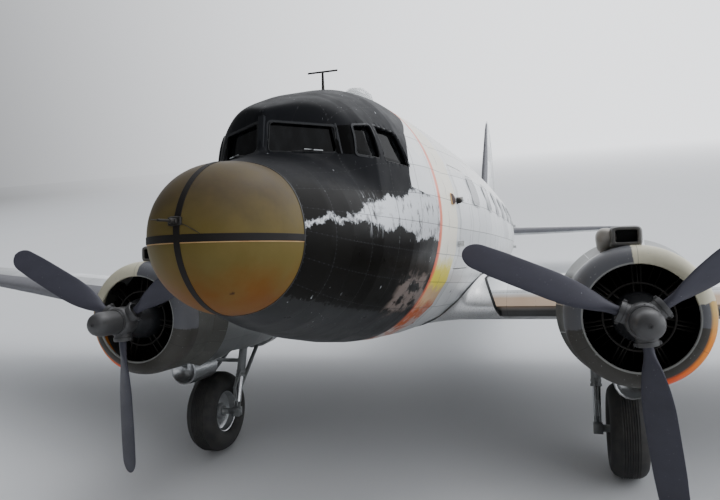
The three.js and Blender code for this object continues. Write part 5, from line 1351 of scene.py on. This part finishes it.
class PLANE_OT_wings(PlaneStep, bpy.types.Operator):
    """Makes the wings' and control surfaces' skins, the rubber boots and the lamps at the tips"""
    bl_idname = "plane.wings"
    bl_label = "Wings"

    def build(self, sizes):
        """The boots are sleeves round the section's leading edge, row by row, and the lamps are turned
        half ovals."""
        refined("wing_centre_section", "wing")
        refined("flap_centre", "wing")
        for name, side in SIDES:
            for node in ("wing_outer_", "aileron_", "flap_"):
                refined(node + name, "wing")
            x = np.concatenate([np.linspace(60, 9700, 40), np.linspace(9750, 10500, 16)])
            rows = list(zip(*panel_row(x)))
            sleeve = edge_wrap(rows, sizes.boot_reach, 4.0, WING["camber"])
            flat = np.concatenate([np.broadcast_to(x[:, None, None], (*sleeve.shape[:2], 1)), sleeve], -1)
            make("wing_boot_" + name, skin(raised(flat, side)), "boot")
            lead, *_ = panel_row(np.array([10420.0]))
            a = np.linspace(0, math.pi, 16)
            bulb = turned(np.stack([34 * np.sin(a), lead[0] + 6 - 78 * np.cos(a)], 1), 24,
                raised([10420, 0, 6], side) * [1, 0, 1], "y", False)
            make("tip_lamp_" + name, bulb, "red_lamp" if side > 0 else "green_lamp")
            make("root_fillet_" + name, moved(self.fillet()[0], mirror=side < 0), "fillet")
            make("root_fillet_edges_" + name, moved(self.fillet()[1], mirror=side < 0), "seal")

    @staticmethod
    def fillet():
        """A hollow fairing along the wing root: at each point of the section's outline, a quadratic arc from
        the cabin's side, a rise away from the wing, through the corner, to the wing's skin further out."""
        t = np.linspace(-0.25, 1, 64)
        share = np.where(t < 0, t * t * 0.9, np.abs(t) ** 1.7)
        upper = t >= 0
        y, z = airfoil(WING["leading"], WING["chord"], WING["thickness"], share, upper, WING["camber"], 2.0)
        z = z + WING["height"]
        along = np.stack([np.gradient(y), np.gradient(z)], 1)
        facing = unit(np.stack([-along[:, 1], along[:, 0]], 1))
        rise = np.interp(t, [-0.25, -0.1, 0, 0.125, 0.39, 0.6, 0.8, 1],
            [150, 150, 140, 110, 40, 60, 180, 320])
        y1, z1 = y + facing[:, 0] * rise, z + facing[:, 1] * rise
        side = np.stack([side_of_barrel(y1, z1), y1, z1], 1)
        spread = np.interp(t, [-0.25, -0.1, 0, 0.125, 0.3, 0.42], [1390, 1335, 1295, 1228, 1130, 900])
        wing = np.stack([np.maximum(spread, side[:, 0] + 0.85 * rise), y, z], 1)
        corner = np.stack([side_of_barrel(y, z) + 60, y, z], 1)
        s = np.linspace(0, 1, 13)[None, :, None]
        arc = (1 - s) ** 2 * side[:, None] + 2 * s * (1 - s) * corner[:, None] + s ** 2 * wing[:, None]
        deep = np.concatenate([side_of_barrel(y, z)[:, None] - 60, (y - facing[:, 0] * 30)[:, None],
            (z - facing[:, 1] * 30)[:, None]], 1)
        out = np.stack([0 * y, facing[:, 0], facing[:, 1]], 1)
        edges = [ribbon(side[4:] + [6, 0, 0], np.tile([[1.0, 0, 0.2]], (len(y) - 4, 1)), 10, 3),
            ribbon(wing[4:] + out[4:] * 3, out[4:], 34, 4)]
        return skin(np.concatenate([arc, deep[:, None]], 1)), combine(edges)


class PLANE_OT_tail(PlaneStep, bpy.types.Operator):
    """Makes the tail surfaces' skins and rubber boots"""
    bl_idname = "plane.tail"
    bl_label = "Tail"

    def build(self, sizes):
        """The boots are sleeves as on the wings; tyre, rim and lamp are turned profiles."""
        refined("fin", "fin")
        refined("rudder", "fin")
        z = np.linspace(2320, 4790, 40)
        lead, trail, thick = (np.interp(z, FIN[:, 0], FIN[:, k]) for k in (1, 2, 3))
        sleeve = edge_wrap(list(zip(lead, trail - lead, thick)), sizes.boot_reach, 4.0, 0.0)
        flat = np.stack([sleeve[..., 1], sleeve[..., 0], np.broadcast_to(z[:, None], sleeve.shape[:2])], -1)
        make("fin_boot", skin(flat), "boot")
        for name, side in SIDES:
            refined("stabiliser_" + name, "tail")
            refined("elevator_" + name, "tail")
            x = np.linspace(520, 3900, 40)
            lead, trail, thick = (np.interp(x, STABILISER[:, 0], STABILISER[:, k]) for k in (1, 2, 3))
            sleeve = edge_wrap(list(zip(lead, trail - lead, thick)), sizes.boot_reach, 4.0, 0.0)
            flat = np.concatenate([np.broadcast_to(x[:, None, None], (*sleeve.shape[:2], 1)), sleeve], -1)
            make("tailplane_boot_" + name, skin(flat * [side, 1, 1] + [0, 0, 1280]), "boot")
        refined("tail_fork", "gear")
        hub = levelled([JOINTS["tail_wheel_spin"]["pos_m"]])[0]
        tyre = [(150, -70), (176, -88), (205, -94), (236, -88), (262, -66), (276, -36), (280, -14),
            (274, -10), (274, -4), (280, 0), (274, 4), (274, 10), (280, 14), (276, 36), (262, 66), (236, 88),
            (205, 94), (176, 88), (150, 70)]
        rim = [(21, -58), (44, -58), (52, -40), (118, -34), (134, -58), (154, -76), (154, -66), (140, -52),
            (140, 52), (154, 66), (154, 76), (134, 58), (118, 34), (52, 40), (44, 58), (21, 58)]
        make("tail_tyre", turned(tyre, 64, hub, "x"), "tyre", ["tail_wheel"], "tail_wheel")
        make("tail_rim", turned(rim, 48, hub, "x"), "bare", body="tail_wheel")
        a = np.linspace(0, math.pi, 14)
        bulb = np.stack([30 * np.sin(a), -46 * np.cos(a)], 1)
        make("tail_lamp", turned(bulb, 24, (0, 17790, 1430), "y", False), "lamp")


COWL = [(540, 3372), (516, 3346), (522, 3330), (545, 3325), (585, 3331), (625, 3350), (660, 3386),
    (683, 3430), (696, 3490), (700, 3560), (700, 3985), (692, 3985), (692, 3600), (672, 3520), (640, 3455),
    (600, 3410), (562, 3382)]


class PLANE_OT_cowlings(PlaneStep, bpy.types.Operator):
    """Makes the cowlings, their open cooling flaps, the scoops, oil coolers, exhausts and nacelles"""
    bl_idname = "plane.cowlings"
    bl_label = "Cowlings and nacelles"

    def build(self, sizes):
        """The shells are turned profiles. Each flap is rings of seven points on two arcs, a wall apart,
        that open out aft as t to the power 1.2."""
        wall = sizes.wall / MM
        a = np.linspace(-0.5, 0.5, 7)
        flaps = []
        for turn in np.radians([24, 48, 72, 96, 120, 144, 216, 240, 264, 288, 312, 336]):
            angle = turn + a * math.radians(23.7)
            rings = []
            for t in np.linspace(0, 1, 5):
                y, r = 3988 + 236 * t, 700 + 74 * t ** 1.2
                outer = np.stack([r * np.sin(angle), np.full(7, y), r * np.cos(angle)], 1)
                inner = np.stack([(r - wall) * np.sin(angle), np.full(7, y), (r - wall) * np.cos(angle)], 1)
                rings.append(np.concatenate([outer, inner[::-1]]))
            flaps.append(skin(rings))
        back = [(671, 3985), (671, 4215), (640, 4218), (640, 3985)]
        for name, side in SIDES:
            centre = (side * ENGINE_OFFSET, 0, ENGINE_HEIGHT)
            shell = combine([turned(COWL, 96, centre), turned(back, 72, centre)])
            make("cowling_shell_" + name, shell, "cowl", ["cowling_" + name])
            make("cowl_flaps_" + name, moved(combine(flaps), centre), "cowl")
            refined("nacelle_" + name, "nacelle", angle=30)
            self.scoop(name, side, centre)
            refined("oil_cooler_" + name, "bare")
            refined("exhaust_" + name, "exhaust")

    @staticmethod
    def scoop(name, side, centre):
        """An intake duct over the cowling: rounded oblongs carried aft from a square-cut mouth, its throat
        matt black as painted shade, with a rounded filter housing on its inboard flank."""
        a = np.linspace(0, 2 * math.pi, 48, endpoint=False)

        def ring(y, middle, half, low, high, n):
            """One oblong at a station: its middle, half-width, foot, top and how square it is."""
            across = squared_off(np.cos(a), n) * half + middle
            up = squared_off(np.sin(a), n) * (high - low) / 2 + (high + low) / 2
            return np.stack([across, np.full(48, float(y)), up], 1)

        rows = [(3575, -74, 103, 730, 852, 9), (3562, -74, 114, 718, 864, 8), (3566, -74, 132, 700, 880, 6),
            (3600, -74, 150, 680, 892, 5), (3760, -72, 162, 660, 898, 4.4), (4080, -66, 168, 640, 898, 3.8),
            (4500, -44, 172, 620, 850, 3.2), (4760, -20, 160, 600, 775, 3), (4950, 0, 126, 590, 704, 3)]
        duct = skin([ring(*row) for row in rows], (False, True))
        throat = skin([ring(3575, -74, 103, 730, 852, 9), ring(3720, -74, 100, 734, 848, 9)], (False, True))
        lobe_rows = [(3604, -262, 12, 784, 806, 2), (3612, -262, 50, 750, 840, 2.1),
            (3638, -260, 80, 728, 864, 2.2), (3690, -256, 96, 706, 880, 2.3),
            (3790, -250, 104, 670, 886, 2.4), (3960, -236, 106, 620, 884, 2.5),
            (4160, -205, 96, 600, 866, 2.5), (4360, -170, 70, 620, 820, 2.4),
            (4500, -140, 24, 650, 760, 2.2)]
        lobe = skin([ring(*row) for row in lobe_rows])
        mirror = side < 0
        make("intake_scoop_fine_" + name, moved(duct, centre, mirror=mirror), "scoop",
             ["intake_scoop_" + name])
        make("filter_housing_" + name, moved(lobe, centre, mirror=mirror), "housing")
        # The throat is matt black: painted shade inside the intake's mouth
        make("intake_throat_" + name, moved(throat, centre, mirror=mirror), "panel")


class PLANE_OT_engines(PlaneStep, bpy.types.Operator):
    """Makes the two rows of finned cylinders with their pushrods, rocker boxes and ignition leads"""
    bl_idname = "plane.engines"
    bl_label = "Engines"

    def build(self, sizes):
        """A cylinder is a turned profile whose radius steps in and out for its fins, every 4.6 mm, so
        coarser than real, and is set round the shaft seven times in each of two rows."""
        r = np.arange(232, 560, 4.6)
        fin = np.where(np.arange(len(r)) % 2 == 0, 88.0, 70.0)
        barrel = np.stack([fin, r], 1)
        barrel = np.concatenate([[(60.0, 200.0), (70, 228)], barrel,
            [(96, 566), (96, 604), (70, 618), (0, 620)], [(0, 200)]])
        cylinder = turned(barrel, 16, (0, 0, 0), "z", False)
        rocker = combine([block((-62, -70, 585), (-22, -6, 640), 8), block((22, -70, 585), (62, -6, 640), 8)])
        front_rods = combine([tube([(-34, -130, 232), (-42, -46, 600)], 10, 8),
            tube([(34, -130, 232), (42, -46, 600)], 10, 8)])
        lead = tube([(0, -168, 330), (0, -150, 420), (0, -100, 500), (0, -60, 560)], 7, 8)
        plug = turned([(0, 0), (12, 0), (12, 30), (7, 44), (0, 44)], 10, (0, -88, 500), "y", False)
        turns = np.arange(7) * 2 * math.pi / 7
        case = [(0, 3070), (52, 3070), (52, 3182), (60, 3190), (96, 3194), (132, 3212), (160, 3250),
            (184, 3306), (206, 3340), (232, 3380), (244, 3440), (250, 3520), (250, 3960), (290, 4040),
            (300, 4100), (300, 4249), (0, 4249)]
        ring = [(12 * math.cos(t) + 330, 12 * math.sin(t) + 3455)
            for t in np.linspace(0, 2 * math.pi, 9)[:-1]]
        baffle = [(250, 3900), (664, 3900), (664, 3912), (250, 3912)]
        bolts_at = np.radians(np.arange(20) * 18.0)
        for name, side in SIDES:
            centre = np.array((side * ENGINE_OFFSET, 0, ENGINE_HEIGHT), float)
            rows = [(3620, 0.0), (3790, math.pi / 7)]
            barrels = [moved(cylinder, centre + [0, y, 0], turn=t + phase)
                for y, phase in rows for t in turns]
            heads = [moved(rocker, centre + [0, y, 0], turn=t + phase) for y, phase in rows for t in turns]
            rods = [moved(front_rods, centre + [0, y, 0], turn=t + phase) for y, phase in rows for t in turns]
            leads = [moved(combine([lead, plug]), centre + [0, 3620, 0], turn=t) for t in turns]
            make("engine_cylinders_" + name, combine(barrels + [turned(baffle, 64, centre)]), "cylinder",
                 angle=60)
            make("engine_rockers_" + name, combine(heads), "cylinder")
            make("engine_pushrods_" + name, combine(rods), "dark_metal")
            heads = (np.stack([218 * np.sin(bolts_at), np.full(20, 3362.0), 218 * np.cos(bolts_at)], 1)
                + centre)
            nuts = studs(heads, np.tile([[0.0, -1, 0]], (20, 1)), 11, 10)
            make("engine_case_" + name, combine([turned(case, 64, centre, closed=False), nuts]),
                "engine_grey", ["engine_" + name])
            make("ignition_ring_" + name, combine([turned(ring, 64, centre), *leads]), "dark_metal")


BLADE = np.array([[235.6, 92, 92, 44], [330, 112, 86, 44], [430, 200, 64, 40], [620, 276, 48, 33],
    [820, 304, 38, 28], [1120, 298, 28, 25], [1400, 291, 20, 23], [1640, 262, 13, 21], [1765, 240, 8, 20]],
    float)


class PLANE_OT_propellers(PlaneStep, bpy.types.Operator):
    """Makes the three-bladed propellers: twisted blades, domed hubs, clamps and bolts"""
    bl_idname = "plane.propellers"
    bl_label = "Propellers"

    def build(self, sizes):
        """A blade is rings that are ovals of chord by thickness, turned by the pitch at their radius;
        the tip closes as the root of 1 - past^2.3. Hub, collars and band are turned profiles."""
        r = np.concatenate([np.linspace(235.6, 1600, 44),
            1600 + 165 * np.sin(np.linspace(0.1, math.pi / 2, 14))])
        chord, thick, pitch = (np.interp(r, BLADE[:, 0], BLADE[:, k]) for k in (1, 2, 3))
        kernel = np.array([1, 2, 3, 2, 1]) / 9
        chord, thick, pitch = (np.convolve(np.pad(v, 2, "edge"), kernel, "valid")
            for v in (chord, thick, pitch))
        past = np.clip((r - 1600) / 165.2, 0, 1)
        chord = chord * np.sqrt(np.clip(1 - past ** 2.3, 0, 1))
        a = np.linspace(0, 2 * math.pi, 32, endpoint=False)
        u, v = 0.5 * chord[:, None] * np.cos(a), 0.5 * thick[:, None] * np.sin(a)
        beta = np.radians(pitch)[:, None]
        points = np.stack([-u * np.cos(beta) + v * np.sin(beta), -u * np.sin(beta) - v * np.cos(beta),
            np.broadcast_to(r[:, None], u.shape)], -1)
        blade = skin(points)
        hub = [(0, 2583), (16, 2582), (18, 2578), (30, 2579), (52, 2584), (78, 2594), (100, 2610),
            (118, 2634), (130, 2668), (137, 2710), (138, 2740), (138, 2960), (150, 2964), (168, 2990),
            (168, 3140), (158, 3160), (140, 3178), (0, 3178)]
        dome_hole = turned([(15, 2584), (15, 2570), (9, 2570), (9, 2584)], 24)
        collar = turned([(92, 120), (92, 235), (100, 232), (104, 216), (104, 190), (98, 184), (98, 150),
            (104, 146), (104, 120)], 32, (0, 3080, 0), "z")
        lugs = [block((s * 104 - 16, 3062, 192), (s * 104 + 16, 3098, 226), 4) for s in (-1, 1)]
        clamp = combine([collar, *lugs])
        ring = np.radians(np.arange(12) * 30.0)
        heads = studs(np.stack([153 * np.sin(ring), np.full(12, 2978.0), 153 * np.cos(ring)], 1),
            np.tile([[0.0, -1, 0]], (12, 1)), 11, 12)
        band = turned([(139, 2930), (146, 2930), (146, 2956), (139, 2956)], 48)
        for name, side, first in (("left", 1, 157), ("right", -1, 152)):
            body = "propeller_" + name
            centre = np.array((side * ENGINE_OFFSET, 0, ENGINE_HEIGHT), float)
            turns = [math.radians(90 - first - 120 * i) for i in range(3)]
            clamps = [moved(clamp, centre, turn=t) for t in turns]
            parts = combine([moved(turned(hub, 64, closed=False), centre), moved(dome_hole, centre),
                moved(heads, centre), moved(band, centre), *clamps])
            make("propeller_hub_fine_" + name, parts, "hub", ["propeller_hub_" + name],
                body)
            for i, turn in enumerate(turns):
                form = moved(blade, centre + [0, PROPELLER_STATION, 0], turn=turn)
                number = str(i + 1)
                piece = make("blade_fine_" + name + "_" + number, form, ["blade", "blade_back"],
                    ["blade_" + name + "_" + number], body)
                mesh = piece.data
                facing = np.zeros(len(mesh.polygons) * 3)
                mesh.polygons.foreach_get("normal", facing)
                fore = facing.reshape(-1, 3) @ TURN
                mesh.polygons.foreach_set("material_index", (fore[:, 1] > 0.12).astype(np.int32))


class PLANE_OT_gear(PlaneStep, bpy.types.Operator):
    """Makes the main wheels' tyres and rims and the legs' bright pistons and links"""
    bl_idname = "plane.gear"
    bl_label = "Landing gear"

    def build(self, sizes):
        """Tyres and rims are profiles turned about the axle, and the wheel nuts are low domes in a ring."""
        # Round the tread, pairs of points stand out at the full radius and pairs lie in the grooves
        grooves = np.array([(571.5 if i % 4 < 2 else 563, -92 + i * 184 / 27) for i in range(28)])
        side = np.array([(290, -150), (318, -178), (350, -200), (395, -214), (440, -216), (485, -205),
            (525, -178), (550, -140), (566, -100)], float)
        profile_points = np.concatenate([side, grooves, side[::-1] * [1, -1]])
        rim = [(45.8, -95), (70, -98), (105, -96), (112, -84), (118, -46), (150, -40), (225, -48),
            (258, -62), (268, -110), (276, -146), (289.4, -152), (289.4, 152), (276, 146), (268, 110),
            (258, 62), (225, 48), (150, 40), (118, 46), (112, 84), (105, 96), (70, 98), (45.8, 95)]
        holes_at = np.radians(np.arange(8) * 45.0)
        for name, sign in SIDES:
            body = "main_wheel_" + name
            centre = (sign * ENGINE_OFFSET, 5180, -1630)
            make("tyre_" + name, turned(profile_points, 96, centre, "x"), "tyre",
                ["main_tyre_" + name], body)
            cap = turned([(50, -97), (50, -104), (100, -104), (100, -97)], 32, centre, "x")
            cap_far = turned([(50, 97), (50, 104), (100, 104), (100, 97)], 32, centre, "x")
            nuts = []
            for s in (-1, 1):
                at = (np.stack([np.full(8, s * 49.0), 190 * np.cos(holes_at), 190 * np.sin(holes_at)], 1)
                    + centre)
                nuts.append(studs(at, np.tile([[float(s), 0, 0]], (8, 1)), 14, 12))
            make("rim_" + name, combine([turned(rim, 64, centre, "x"), cap, cap_far, *nuts]), "bare",
                 ["main_rim_" + name], body)
            refined("main_gear_" + name, "gear")
            self.leg(name, sign, centre)

    @staticmethod
    def leg(name, sign, axle):
        """Pistons, gland nuts, scissor links, clamps and rigid pipes: round bars along a wheel's two legs."""
        bright, dull, pipes = [], [], []

        def along(s, t):
            """A place on the leg on side s of the wheel, t of the way from the axle up to the leg's top."""
            return np.array([s * 330.0, t * 380, t * 1360.0])

        def placed(forms):
            """The forms as one, at this wheel's axle."""
            return moved(combine(forms), axle, mirror=sign < 0)

        for s in (-1, 1):
            bright.append(tube([along(s, 0.10), along(s, 0.40)], 46, 24))
            for at, r in ((0.36, 70), (0.40, 66), (0.66, 66), (0.90, 68)):
                dull.append(tube([along(s, at), along(s, at + 0.022)], r, 24))
            knee = along(s, 0.27) + [0, -150, -10]
            for end in (0.06, 0.44):
                dull += [tube([along(s, end) + [x, -50, 0], knee + [x * 0.4, 0, 0]], 12, 8)
                    for x in (-26, 26)]
            dull.append(tube([knee + [-22, 0, 0], knee + [22, 0, 0]], 15, 12))
            line = [along(s, 0.02) + [s * -40, 62, 0], along(s, 0.2) + [s * -45, 66, 0],
                along(s, 0.42) + [s * -52, 64, 0], along(s, 0.7) + [s * -50, 60, 0],
                along(s, 0.97) + [s * -46, 60, 0]]
            pipes.append(tube(line, 5, 8))
        make("gear_pistons_" + name, placed(bright), "chrome")
        make("gear_links_" + name, placed(dull), "gear")
        make("brake_pipes_" + name, placed(pipes), "dark_metal")


class PLANE_OT_cockpit(PlaneStep, bpy.types.Operator):
    """Makes the cockpit's and cabin's inside surfaces"""
    bl_idname = "plane.cockpit"
    bl_label = "Cockpit and cabin inside"

    def build(self, sizes):
        """The solids' own surfaces, then the seats, controls and cabin pieces in turn."""
        for node, key in (("cockpit_floor", "interior"), ("instrument_panel", "panel"),
                ("bulkhead", "liner"), ("cabin_floor", "floor_boards")):
            refined(node, key)
        self.seats()
        self.controls()
        self.cabin()

    @staticmethod
    def cushion(centre, half, turn, channels=3):
        """A crowned pad: a squared-off oval at angles a round and b over it, its sides drawn in between the
        corners by 5%, and its top sunk along each sewn channel by a narrow bell curve."""
        a = np.linspace(0, 2 * math.pi, 72, endpoint=False)[None, :]
        b = np.linspace(-math.pi / 2, math.pi / 2, 33)[:, None]
        x = squared_off(np.cos(a), 5) * np.abs(squared_off(np.cos(b), 3))
        y = squared_off(np.sin(a), 5) * np.abs(squared_off(np.cos(b), 3))
        z = squared_off(np.sin(b), 2.2) + 0 * a
        drawn_x, drawn_y = x * (1 - 0.05 * (1 - y ** 2)), y * (1 - 0.05 * (1 - x ** 2))
        seam = sum(np.exp(-((y - c) / 0.05) ** 2) for c in np.linspace(-1, 1, channels + 2)[1:-1])
        z = z * (1 - 0.25 * np.hypot(x, y) ** 4) - np.where(z > 0, 0.30 * seam, 0)
        flat = np.stack([drawn_x * half[0], drawn_y * half[1], z * half[2]], -1)
        c, s = math.cos(turn), math.sin(turn)
        points = np.stack([flat[..., 0], flat[..., 1] * c - flat[..., 2] * s,
            flat[..., 1] * s + flat[..., 2] * c], -1)
        rim = outline([(-half[0], -half[1]), (half[0], -half[1]), (half[0], half[1]), (-half[0], half[1])],
            50, 80) * 0.985
        piping = np.stack([rim[:, 0], rim[:, 1] * c, rim[:, 1] * s], 1) + centre
        return skin(points + centre), tube(piping, 6, 8, True)

    def seats(self):
        """Each pilot's seat: bottom and back cushions with piped edges, arm rests and a webbing lap strap."""
        for name, side in SIDES:
            middle = side * 380
            for key, centre, half, turn in (("bottom", (middle, 2345, 836), (198, 178, 44), 0.0),
                    ("back", (middle, 2508, 1110), (190, 235, 40), math.radians(90))):
                pad, piping = self.cushion(np.array(centre, float), half, turn)
                piece = make("seat_" + key + "_cushion_" + name, pad, "leather", angle=80)
                make("seat_" + key + "_piping_" + name, piping, "webbing")
            arms = [tube([(middle + s * 235, 2550, 1010), (middle + s * 238, 2400, 1020),
                (middle + s * 238, 2290, 1012), (middle + s * 230, 2262, 990)], 14, 10) for s in (-1, 1)]
            make("seat_arm_rests_" + name, combine(arms), "black")
            t = np.linspace(-1, 1, 25)
            strap = np.stack([middle + 205 * t, 2430 - 60 * (1 - t ** 2),
                886 + 12 * (1 - t ** 2) - 40 * t ** 8], 1)
            make("seat_strap_" + name, ribbon(strap, np.tile([[0.0, 0, 1]], (25, 1)), 44, 3), "webbing")

    @staticmethod
    def controls():
        """The dials as turned profiles, and the throttles, control columns and pedals as bars and blocks."""
        bezels, faces, needles = [], [], []
        spots = [(x, z, 44) for x in (-520, -410, -300, 300, 410, 520) for z in (1215, 1095)]
        spots += [(x, z, 36) for x in (-150, -50, 50, 150) for z in (1240, 1140, 1040)]
        for i, (x, z, r) in enumerate(spots):
            bezels.append(turned([(r, 1649), (r, 1657), (r - 4, 1661), (r - 8, 1659), (r - 8, 1651)], 24,
                (x, 0, z)))
            faces.append(turned([(0, 1649), (r - 8, 1649), (r - 8, 1652), (0, 1652.5)], 24, (x, 0, z),
                closed=False))
            needle = (np.array([[-1.6, 1653, -r * 0.2], [1.6, 1653, -r * 0.2], [0, 1653, r * 0.66]]),
                [[0, 1, 2], [2, 1, 0]])
            tick = block((-0.9, 1652, r - 17), (0.9, 1653.4, r - 10))
            marks = [moved(tick, (x, 0, z), turn=k * math.pi / 5) for k in range(10)]
            needles += [moved(needle, (x, 0, z), turn=0.9 * i), *marks]
        make("dial_bezels", combine(bezels), "black")
        make("dial_faces", combine(faces), "panel")
        make("dial_marks", combine(needles), "dial")
        levers, knobs = [], []
        a = np.linspace(0, math.pi, 10)
        for i, x in enumerate((-75, -45, -15, 15, 45, 75)):
            lean = (-40, -40, 10, 10, 30, 30)[i]
            levers.append(tube([(x, 1770, 950), (x, 1770 + lean * 0.6, 1010), (x, 1770 + lean, 1070)], 4, 8))
            ball = np.stack([14 * np.sin(a), 1770 + lean - 14 * np.cos(a)], 1)
            knobs.append(turned(ball, 16, (x, 0, 1078), closed=False))
        quadrant = block((-110, 1690, 940), (110, 1860, 985), 14)
        make("throttle_quadrant", combine([quadrant, *levers]), "dark_metal")
        make("throttle_knobs", combine(knobs), "red_lamp")
        t = np.radians(np.linspace(-140, 140, 40))
        for name, side in SIDES:
            x = side * 380
            wheel = np.stack([x + 150 * np.sin(t), 1905 + 12 * np.cos(t), 1030 - 150 * np.cos(t)], 1)
            spokes = [tube([(x + s * 148, 1907, 1030), (x, 1900, 1030)], 8, 8) for s in (-1, 1)]
            column = tube([(x, 1840, 452), (x, 1850, 620), (x, 1888, 900), (x, 1900, 1030)], 19, 14)
            make("control_column_" + name, combine([column, tube(wheel, 12, 12), *spokes]), "black")
            pedals = [block((x + s * 95 - 45, 1664, 560), (x + s * 95 + 45, 1684, 690), 6) for s in (-1, 1)]
            pedals += [tube([(x + s * 95, 1674, 560), (x + s * 95, 1720, 452)], 9, 8) for s in (-1, 1)]
            make("rudder_pedals_" + name, combine(pedals), "steel")

    @staticmethod
    def cabin():
        """Ribs round the cabin, each an angle section carried along its ring, and a pressed bench a side."""
        turn = np.radians(np.linspace(-118, 118, 60))
        ribs = []
        for y in np.arange(3800, 14000, 600.0):
            path = hull_point(BARREL, y, turn, -52.0)
            ribs.append(swept(path, [(-20, -12), (20, -12), (20, -8), (-16, -8), (-16, 12), (-20, 12)],
                np.stack([-np.sin(turn), 0 * turn, -np.cos(turn)], 1)))
        make("cabin_ribs", combine(ribs), "liner")
        y = np.linspace(4000, 11000, 113)
        dip = 18 * np.abs(np.sin((y - 4000) / 500 * math.pi)) ** 0.5
        for name, side in SIDES:
            inner, outer = 620.0, 1040.0
            share = np.linspace(0, 1, 15)
            bowl = np.sin(share * math.pi)[None, :] * dip[:, None]
            x = np.broadcast_to(inner + (outer - inner) * share, bowl.shape)
            top = np.stack([x, np.broadcast_to(y[:, None], bowl.shape), 770 - bowl], -1)
            low = top[:, ::-1] - [0, 0, 14]
            legs = [tube([(640, at, 760), (700, at, 340)], 14, 8) for at in np.arange(4250, 11000, 1000.0)]
            make("bench_" + name, moved(combine([skin(np.concatenate([top, low], 1)), *legs]),
                mirror=side < 0), "bench")


class PLANE_OT_stage(bpy.types.Operator):
    """Lays a pale floor and sets plain soft studio light"""
    bl_idname = "plane.stage"
    bl_label = "Floor and light"

    def execute(self, context):
        """A square floor, a surround that glows from one side, and two square lamps that face the plane."""
        mesh = bpy.data.meshes.new("pale_floor")
        mesh.from_pydata([(-900, -900, 0), (900, -900, 0), (900, 900, 0), (-900, 900, 0)], [], [(0, 1, 2, 3)])
        mesh.materials.append(floor_finish())
        floor = bpy.data.objects.new("pale_floor", mesh)
        context.scene.collection.objects.link(floor)
        world = bpy.data.worlds.new("studio")
        context.scene.world = world
        world.use_nodes = True
        tree = world.node_tree
        background = tree.nodes["Background"]
        background.inputs["Color"].default_value = linear("ECEEF2")
        way = add(tree, "TexCoord")
        facing = add(tree, "VectorMath", "DOT_PRODUCT", (way, GLOW_TOWARD))
        facing = facing.node.outputs["Value"]
        glow = add(tree, "MapRange", {"interpolation_type": "SMOOTHSTEP"},
            (facing, *GLOW_SPAN, *GLOW_STRENGTH))
        tree.links.new(glow, background.inputs["Strength"])
        lights = (("key", (9, 11, 34), (0, 3, 2), 14, 1800), ("fill", (-9, -16, 9), (0, 2, 2.5), 9, 60))
        for name, place, target, size, power in lights:
            data = bpy.data.lights.new(name, "AREA")
            data.energy, data.size = power, size
            lamp = bpy.data.objects.new(name, data)
            context.scene.collection.objects.link(lamp)
            back = unit(np.array(place, float) - np.array(target, float))
            side = unit(np.cross([0, 0, 1.0], back))
            matrix = np.eye(4)
            matrix[:3, :3] = np.stack([side, np.cross(back, side), back], 1)
            matrix[:3, 3] = place
            lamp.matrix_world = Matrix(matrix.tolist())
        return {"FINISHED"}


STEPS = (PLANE_OT_camera, PLANE_OT_radome, PLANE_OT_nose, PLANE_OT_cabin, PLANE_OT_wings, PLANE_OT_tail,
    PLANE_OT_cowlings, PLANE_OT_engines, PLANE_OT_propellers, PLANE_OT_gear, PLANE_OT_cockpit,
    PLANE_OT_stage)


class PLANE_PT_steps(bpy.types.Panel):
    """Lists the steps that dress the plane, and its settings"""
    bl_label = "Transport plane"
    bl_idname = "PLANE_PT_steps"
    bl_space_type = "VIEW_3D"
    bl_region_type = "UI"
    bl_category = "Transport plane"

    def draw(self, context):
        """The settings first, then a button for each step."""
        for group in (context.scene.plane_finish, context.scene.plane_sizes):
            for key in group.__annotations__:
                self.layout.prop(group, key)
        for operator in STEPS:
            self.layout.operator(operator.bl_idname)


CLASSES = (PlaneFinish, PlaneSizes, *STEPS, PLANE_PT_steps)


def register():
    """Registers the classes and hangs the settings on the scene."""
    for item in CLASSES:
        bpy.utils.register_class(item)
    bpy.types.Scene.plane_finish = bpy.props.PointerProperty(type=PlaneFinish)
    bpy.types.Scene.plane_sizes = bpy.props.PointerProperty(type=PlaneSizes)


def unregister():
    """Takes away what register set up, in reverse."""
    del bpy.types.Scene.plane_sizes
    del bpy.types.Scene.plane_finish
    for item in reversed(CLASSES):
        bpy.utils.unregister_class(item)


def main():
    """Runs the steps in order."""
    register()
    bpy.ops.plane.camera()
    bpy.ops.plane.radome()
    bpy.ops.plane.nose()
    bpy.ops.plane.cabin()
    bpy.ops.plane.wings()
    bpy.ops.plane.tail()
    bpy.ops.plane.cowlings()
    bpy.ops.plane.engines()
    bpy.ops.plane.propellers()
    bpy.ops.plane.gear()
    bpy.ops.plane.cockpit()
    bpy.ops.plane.stage()


if __name__ == "__main__":
    main()
